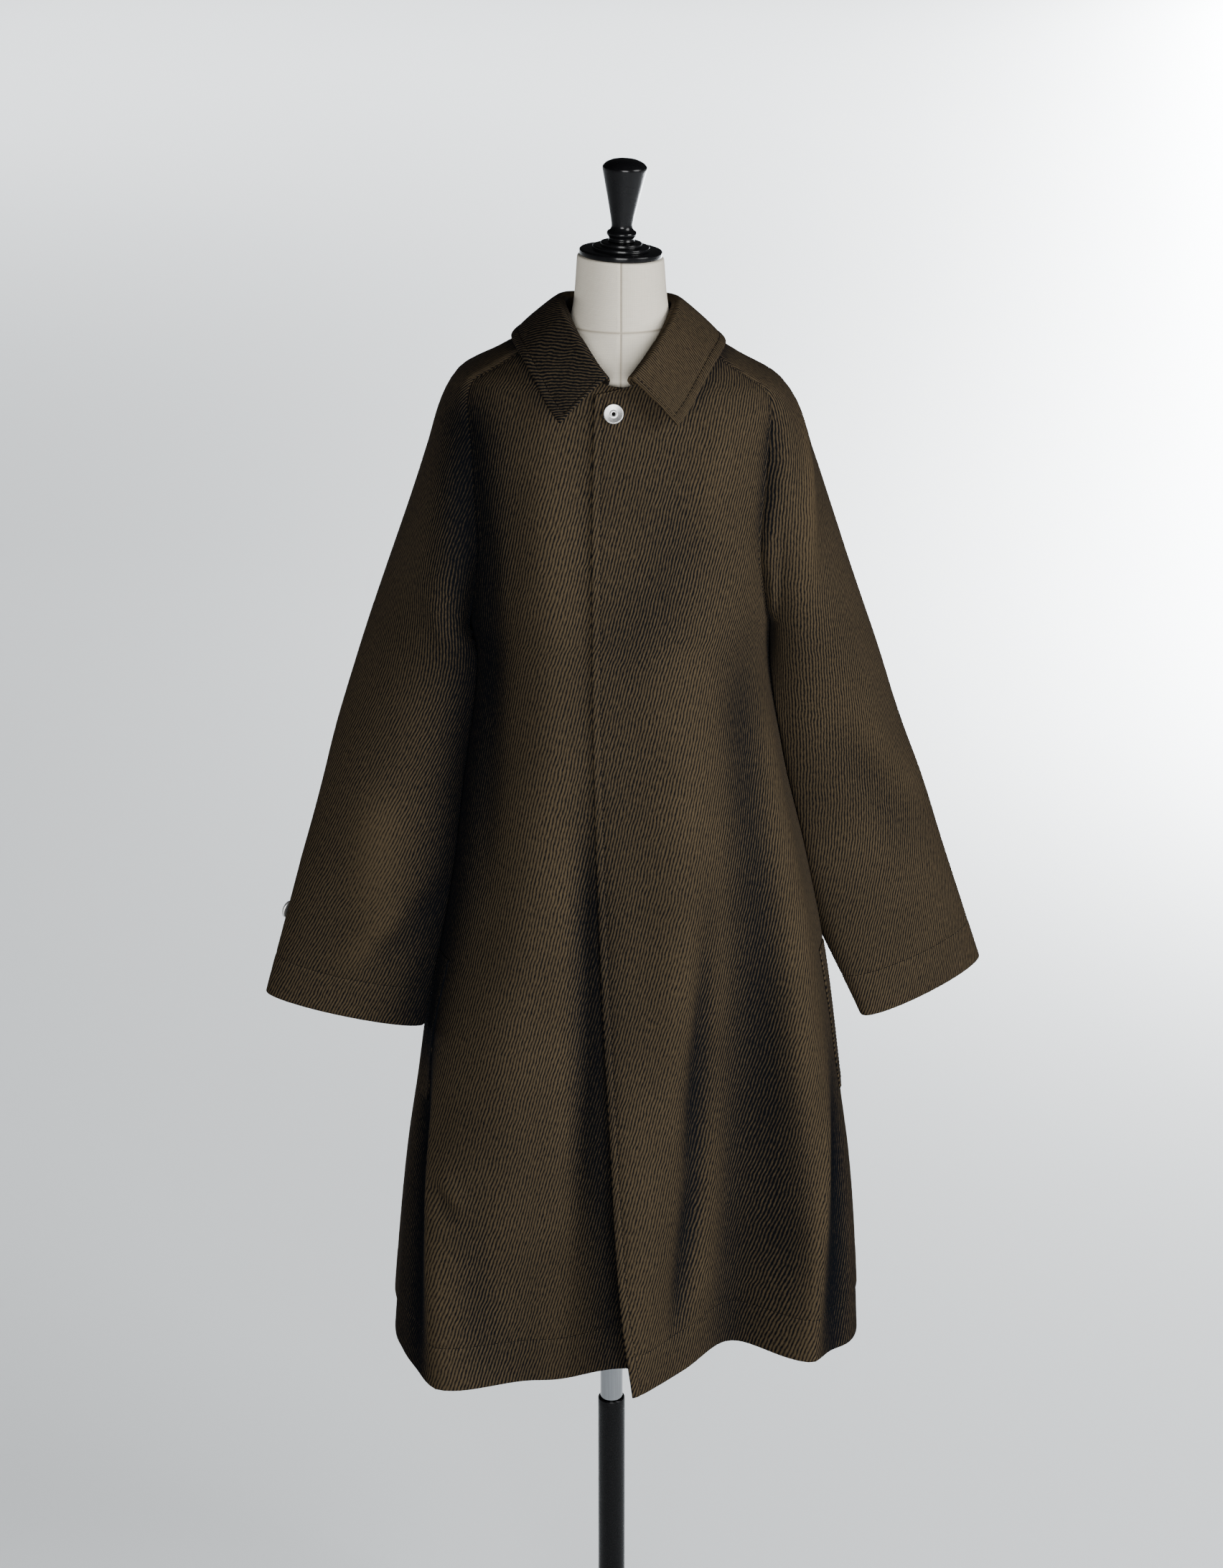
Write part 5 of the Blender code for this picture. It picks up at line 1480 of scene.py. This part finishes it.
def dressForm():
    low, high = formPlan["height"][0], formPlan["height"][-1]
    seam = formShape["neckSeam"]
    bodyTop, bodyRows = formShape["body"]
    neckRows, band, side = formShape["neckRows"], formShape["seamBand"], formShape["sideBand"]
    heights = np.sort(np.concatenate([
        np.linspace(low, bodyTop, bodyRows), np.linspace(formShape["neckFrom"], seam - band, neckRows),
        seam + nearNeckSeam, np.linspace(seam + band, high - formShape["topBand"], neckRows),
        high - nearTop,
    ]))
    # columns closer together by the seam down the middle of the front and of the back
    half = np.linspace(side, math.pi - side, formShape["sideColumns"])
    angle = np.concatenate([nearMiddleSeam, half, math.pi + nearMiddleSeam, math.pi + half])
    points, uv, seams = [], [], []
    tilt = math.tan(math.radians(formShape["capTilt"]))
    for z in heights:
        width, front, rear = (along(formPlan, c, z) for c in ("width", "front", "back"))
        x = width * np.sin(angle)
        y = -np.where(np.cos(angle) > 0, front, rear) * np.cos(angle)
        dip = np.exp(-((x / formShape["seamHalf"]) ** 2))
        dip = np.maximum(dip, math.exp(-(((z - seam) / formShape["seamHalf"]) ** 2)))
        # the seams' darker paint: partly their brown thread, partly painted shade in the groove
        seams.append(dip * formShape["seamTone"])
        rim, rimReach = formShape["rim"]
        dent = formShape["seamDepth"] * dip + rim * max(0.0, 1 - (high - z) / rimReach) ** 2
        size = np.hypot(x, y)
        x, y = x * (1 - dent / size), y * (1 - dent / size)
        lean = tilt * ease((z - formShape["leanFrom"]) / (high - formShape["leanFrom"]))
        points.append(np.stack([formShape["middle"] + x, y, z - lean * x], axis=1))
        uv.append(np.stack([angle * width, np.full(len(angle), z)], axis=1))
    points, uv = np.array(points), np.array(uv)
    rows, cols = points.shape[:2]
    index = np.arange(rows * cols).reshape(rows, cols)
    ahead = np.roll(index, -1, axis=1)
    faces = np.stack([index[:-1], ahead[:-1], ahead[1:], index[1:]], axis=-1).reshape(-1, 4).tolist()
    centres = [points[0].mean(axis=0), points[-1].mean(axis=0)]
    faces += [[rows * cols, index[0, (j + 1) % cols], index[0, j]] for j in range(cols)]
    faces += [[rows * cols + 1, index[-1, j], index[-1, (j + 1) % cols]] for j in range(cols)]
    made = meshPiece(
        "dress_form", np.concatenate([points.reshape(-1, 3), centres]), faces, linen,
        uv=np.concatenate([uv.reshape(-1, 2), [[0, 0], [0, 1]]]), sharp=50,
    )
    dark = made.data.attributes.new("seam", "FLOAT", "POINT")
    dark.data.foreach_set("value", np.concatenate([np.ravel(seams), [0.0, 0.0]]))


dressForm()
capShape = {"gap": 0.0004, "corner": 0.0006, "knobHeight": 0.0146, "knobCorner": 0.0022, "knobArc": 5}
capProfile = (
    (0.0000, 0.0000), (0.0402, 0.0000), (0.0412, 0.0012), (0.0412, 0.0052), (0.0400, 0.0064),
    (0.0290, 0.0066), (0.0284, 0.0074), (0.0284, 0.0094), (0.0274, 0.0102), (0.0212, 0.0104),
    (0.0207, 0.0110), (0.0207, 0.0130), (0.0198, 0.0138), (0.0000, 0.0138),
)
knobProfile = (
    (0.0000, 0.0000), (0.0134, 0.0000), (0.0124, 0.0028), (0.0128, 0.0046), (0.0146, 0.0062),
    (0.0150, 0.0080), (0.0144, 0.0098), (0.0118, 0.0112), (0.0106, 0.0140), (0.0106, 0.0168),
    (0.0118, 0.0240), (0.0156, 0.0420), (0.0210, 0.0660), (0.0222, 0.0712), (0.0220, 0.0734),
    (0.0190, 0.0768), (0.0130, 0.0796), (0.0066, 0.0808), (0.0000, 0.0812),
)
neckTop = Matrix.Translation((formShape["middle"], 0, formPlan["height"][-1]))
tilted = neckTop @ Matrix.Rotation(math.radians(formShape["capTilt"]), 4, "Y")
turnedPiece(
    "cap_on_neck", softProfile(capProfile, capShape["corner"]), lacquer,
    matrix=tilted @ Matrix.Translation((0, 0, capShape["gap"])),
)
turnedPiece(
    "knob_on_cap", softProfile(knobProfile, capShape["knobCorner"], capShape["knobArc"]), lacquer, sharp=60,
    matrix=tilted @ Matrix.Translation((0, 0, capShape["knobHeight"])),
)
print("dress form covered")


# stand: painted base and tube, chromed pole that slides in the tube

standShape = {
    "poleRadius": 0.0125, "poleFoot": 0.165, "poleCorner": 0.0008, "baseCorner": 0.0016, "baseSteps": 160,
    "tubeRadius": 0.0150, "tubeBore": 0.0130, "tubeTop": 0.386, "baseTop": 0.022, "gap": 0.0004,
    "rimBand": 0.012, "lip": 0.0012, "lipIn": (0.0002, 0.0007), "boreLip": (0.0005, 0.0006),
}
baseProfile = (
    (0.0000, 0.0000), (0.1760, 0.0000), (0.1800, 0.0020), (0.1800, 0.0080), (0.1770, 0.0112),
    (0.1700, 0.0126), (0.0400, 0.0170), (0.0260, 0.0184), (0.0230, 0.0220), (0.0000, 0.0220),
)
turnedPiece(
    "round_base", softProfile(baseProfile, standShape["baseCorner"]), enamel, steps=standShape["baseSteps"],
)
foot, top = standShape["baseTop"] + standShape["gap"], standShape["tubeTop"]
wide, bore, lip = standShape["tubeRadius"], standShape["tubeBore"], standShape["lip"]
halfIn, lipIn = standShape["lipIn"]
boreOut, boreDown = standShape["boreLip"]
tubeProfile = [
    (bore, foot), (wide, foot), (wide, top - standShape["rimBand"]), (wide, top - lip),
    (wide - halfIn, top - lip / 2), (wide - lipIn, top), (bore + boreOut, top), (bore, top - boreDown),
]
turnedPiece("painted_tube", tubeProfile, enamel, loop=True)
foot, top = standShape["poleFoot"], formPlan["height"][0] - standShape["gap"]
radius = standShape["poleRadius"]
poleProfile = [(0.0, foot), (radius, foot), (radius, top), (0.0, top)]
turnedPiece("chromed_pole", softProfile(poleProfile, standShape["poleCorner"]), chrome)
print("stand put together")


# floor and light: pale floor, large soft light from the right and in front

floorShape = {"half": 60.0, "top": -0.0008, "clouds": 0.5, "tones": ("#a9adb0", "#acb0b3")}
floorMaterial, tree, shader = newMaterial("vinyl_floor_matt_pale", Roughness=0.9, Specular_IOR_Level=0.1)
place = addNode(tree, "ShaderNodeTexCoord")
cloud = addNode(
    tree, "ShaderNodeTexNoise",
    {"Vector": place.outputs["Object"], "Scale": floorShape["clouds"], "Detail": 2.0},
)
darker, lighter = (toLinear(tone) for tone in floorShape["tones"])
mixed = addNode(
    tree, "ShaderNodeMix", {0: cloud.outputs[0], 6: darker, 7: lighter}, data_type="RGBA",
)
tree.links.new(mixed.outputs[2], shader.inputs["Base Color"])
half, top = floorShape["half"], floorShape["top"]
floorCorners = [(-half, -half, top), (half, -half, top), (half, half, top), (-half, half, top)]
floor = meshPiece("floor", floorCorners, [(0, 1, 2, 3)], floorMaterial)
if floor.data.polygons[0].normal.z < 0:
    floor.data.flip_normals()
floor.visible_diffuse = False  # keeps its bounce off the dark sides of the cloth

lights = {
    "window": {"place": (4.0, -1.9, 2.7), "aim": (0.0, 0.0, 1.05), "size": (2.2, 2.6), "watts": 255.0},
    "front_fill": {"place": (0.2, -4.6, 1.8), "aim": (0.0, 0.0, 1.0), "size": (2.4, 1.6), "watts": 235.0},
    # low, narrow and tipped up, to reach the back of the coat and miss the floor
    "rear_window": {
        "place": (-0.6, 5.5, 0.7), "aim": (0.0, 0.0, 1.25), "size": (2.4, 1.2),
        "watts": 28.0, "spread": 40.0,
    },
    "left_window": {
        "place": (-4.2, 3.4, 0.7), "aim": (0.0, 0.0, 1.25), "size": (1.8, 1.2),
        "watts": 9.0, "spread": 40.0,
    },
    "floor_even": {
        "place": (0.0, 0.0, 30.0), "aim": (0.0, 0.1, 0.0), "size": (160.0, 160.0), "watts": 52000.0,
    },
    "floor_wash": {
        "place": (0.0, 15.0, 5.0), "aim": (0.0, 15.0, 0.0), "size": (14.0, 12.0), "watts": 3700.0,
    },
    "floor_right": {
        "place": (3.4, 10.0, 1.1), "aim": (3.4, 10.0, 0.0), "size": (0.8, 15.0),
        "watts": 6400.0, "turn": -9.1,
    },
}
floorOnly = bpy.data.collections.new("floor_only")  # the floor's own lights are for the floor alone
floorOnly.objects.link(floor)
for name, setup in lights.items():
    data = bpy.data.lights.new(name, "AREA")
    data.shape = "RECTANGLE"
    data.size, data.size_y = setup["size"]
    data.energy = setup["watts"]
    data.spread = math.radians(setup.get("spread", 180.0))
    lamp = bpy.data.objects.new(name, data)
    lamp.location = setup["place"]
    aim = Vector(setup["aim"]) - Vector(setup["place"])
    lamp.rotation_euler = aim.to_track_quat("-Z", "Y").to_euler()
    lamp.rotation_euler.rotate_axis("Z", math.radians(setup.get("turn", 0.0)))
    lamp.visible_glossy = "spread" not in setup
    bpy.context.scene.collection.objects.link(lamp)
    if name.startswith("floor"):
        lamp.light_linking.receiver_collection = floorOnly
# pale to look at above the floor, but nearly all of the light comes from the lamps
roomLight = {"colour": "#eef2f8", "seen": 0.9, "given": 0.03}
world = bpy.data.worlds.new("soft_room")
world.use_nodes = True
room = world.node_tree.nodes["Background"]
room.inputs["Color"].default_value = toLinear(roomLight["colour"])
seen = addNode(world.node_tree, "ShaderNodeLightPath")
strength = addNode(
    world.node_tree, "ShaderNodeMath",
    {0: seen.outputs["Is Camera Ray"], 1: roomLight["seen"], 2: roomLight["given"]},
    operation="MULTIPLY_ADD",
)
world.node_tree.links.new(strength.outputs[0], room.inputs["Strength"])
bpy.context.scene.world = world
print("lights set")


# which body each piece moves with, which solid it stands for, and its finish

pieces = {
    "coat_front_left": ("dressed_form", "front_left", "wool_twill"),
    "coat_front_right": ("dressed_form", "front_right", "wool_twill"),
    "coat_back": ("dressed_form", "back", "wool_twill"),
    "coat_sleeve_left": ("dressed_form", "sleeve_left", "wool_twill"),
    "coat_sleeve_right": ("dressed_form", "sleeve_right", "wool_twill"),
    "coat_collar": ("dressed_form", "collar", "wool_twill"),
    "pocket_welt_left_cloth": ("dressed_form", "pocket_welt_left", "wool_twill"),
    "pocket_welt_right_cloth": ("dressed_form", "pocket_welt_right", "wool_twill"),
    "stitches": ("dressed_form", None, "wool_twill"),
    "button_at_neck": ("dressed_form", "neck_button", "button_metal"),
    "button_at_cuff_left": ("dressed_form", "cuff_button_left", "button_metal"),
    "button_at_cuff_right": ("dressed_form", "cuff_button_right", "button_metal"),
    "dress_form": ("dressed_form", "form_body", "linen"),
    "cap_on_neck": ("dressed_form", "neck_cap", "black_wood"),
    "knob_on_cap": ("dressed_form", "neck_finial", "black_wood"),
    "chromed_pole": ("pole", "stand_pole", "chrome"),
    "painted_tube": ("stand", "stand_tube", "black_paint"),
    "round_base": ("stand", "stand_base", "black_paint"),
}
for name, (body, node, slot) in pieces.items():
    piece = bpy.data.objects[name]
    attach(piece, body)
    if node:
        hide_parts(node)

# what each piece of cloth measured flat: width, length and area of the cut
sheets = {
    "coat_front_left": (0.42, 1.13, 0.36, ["dress_form"]),
    "coat_front_right": (0.44, 1.13, 0.38, ["dress_form"]),
    "coat_back": (0.80, 1.15, 0.66, ["dress_form"]),
    "coat_sleeve_left": (0.40, 0.80, 0.27, ["dress_form"]),
    "coat_sleeve_right": (0.40, 0.78, 0.26, ["dress_form"]),
    "coat_collar": (0.56, 0.12, 0.050, ["dress_form"]),
    "pocket_welt_left_cloth": (0.030, 0.175, 0.0052, ["coat_front_left"]),
    "pocket_welt_right_cloth": (0.030, 0.175, 0.0052, ["coat_front_right"]),
}
for name, (width, length, area, under) in sheets.items():
    piece = bpy.data.objects[name]
    oneFace = sum(f.area for f in piece.data.polygons) / 2
    print(name, "half of the surface", round(oneFace, 4), "flat", area)

print("coat finished")
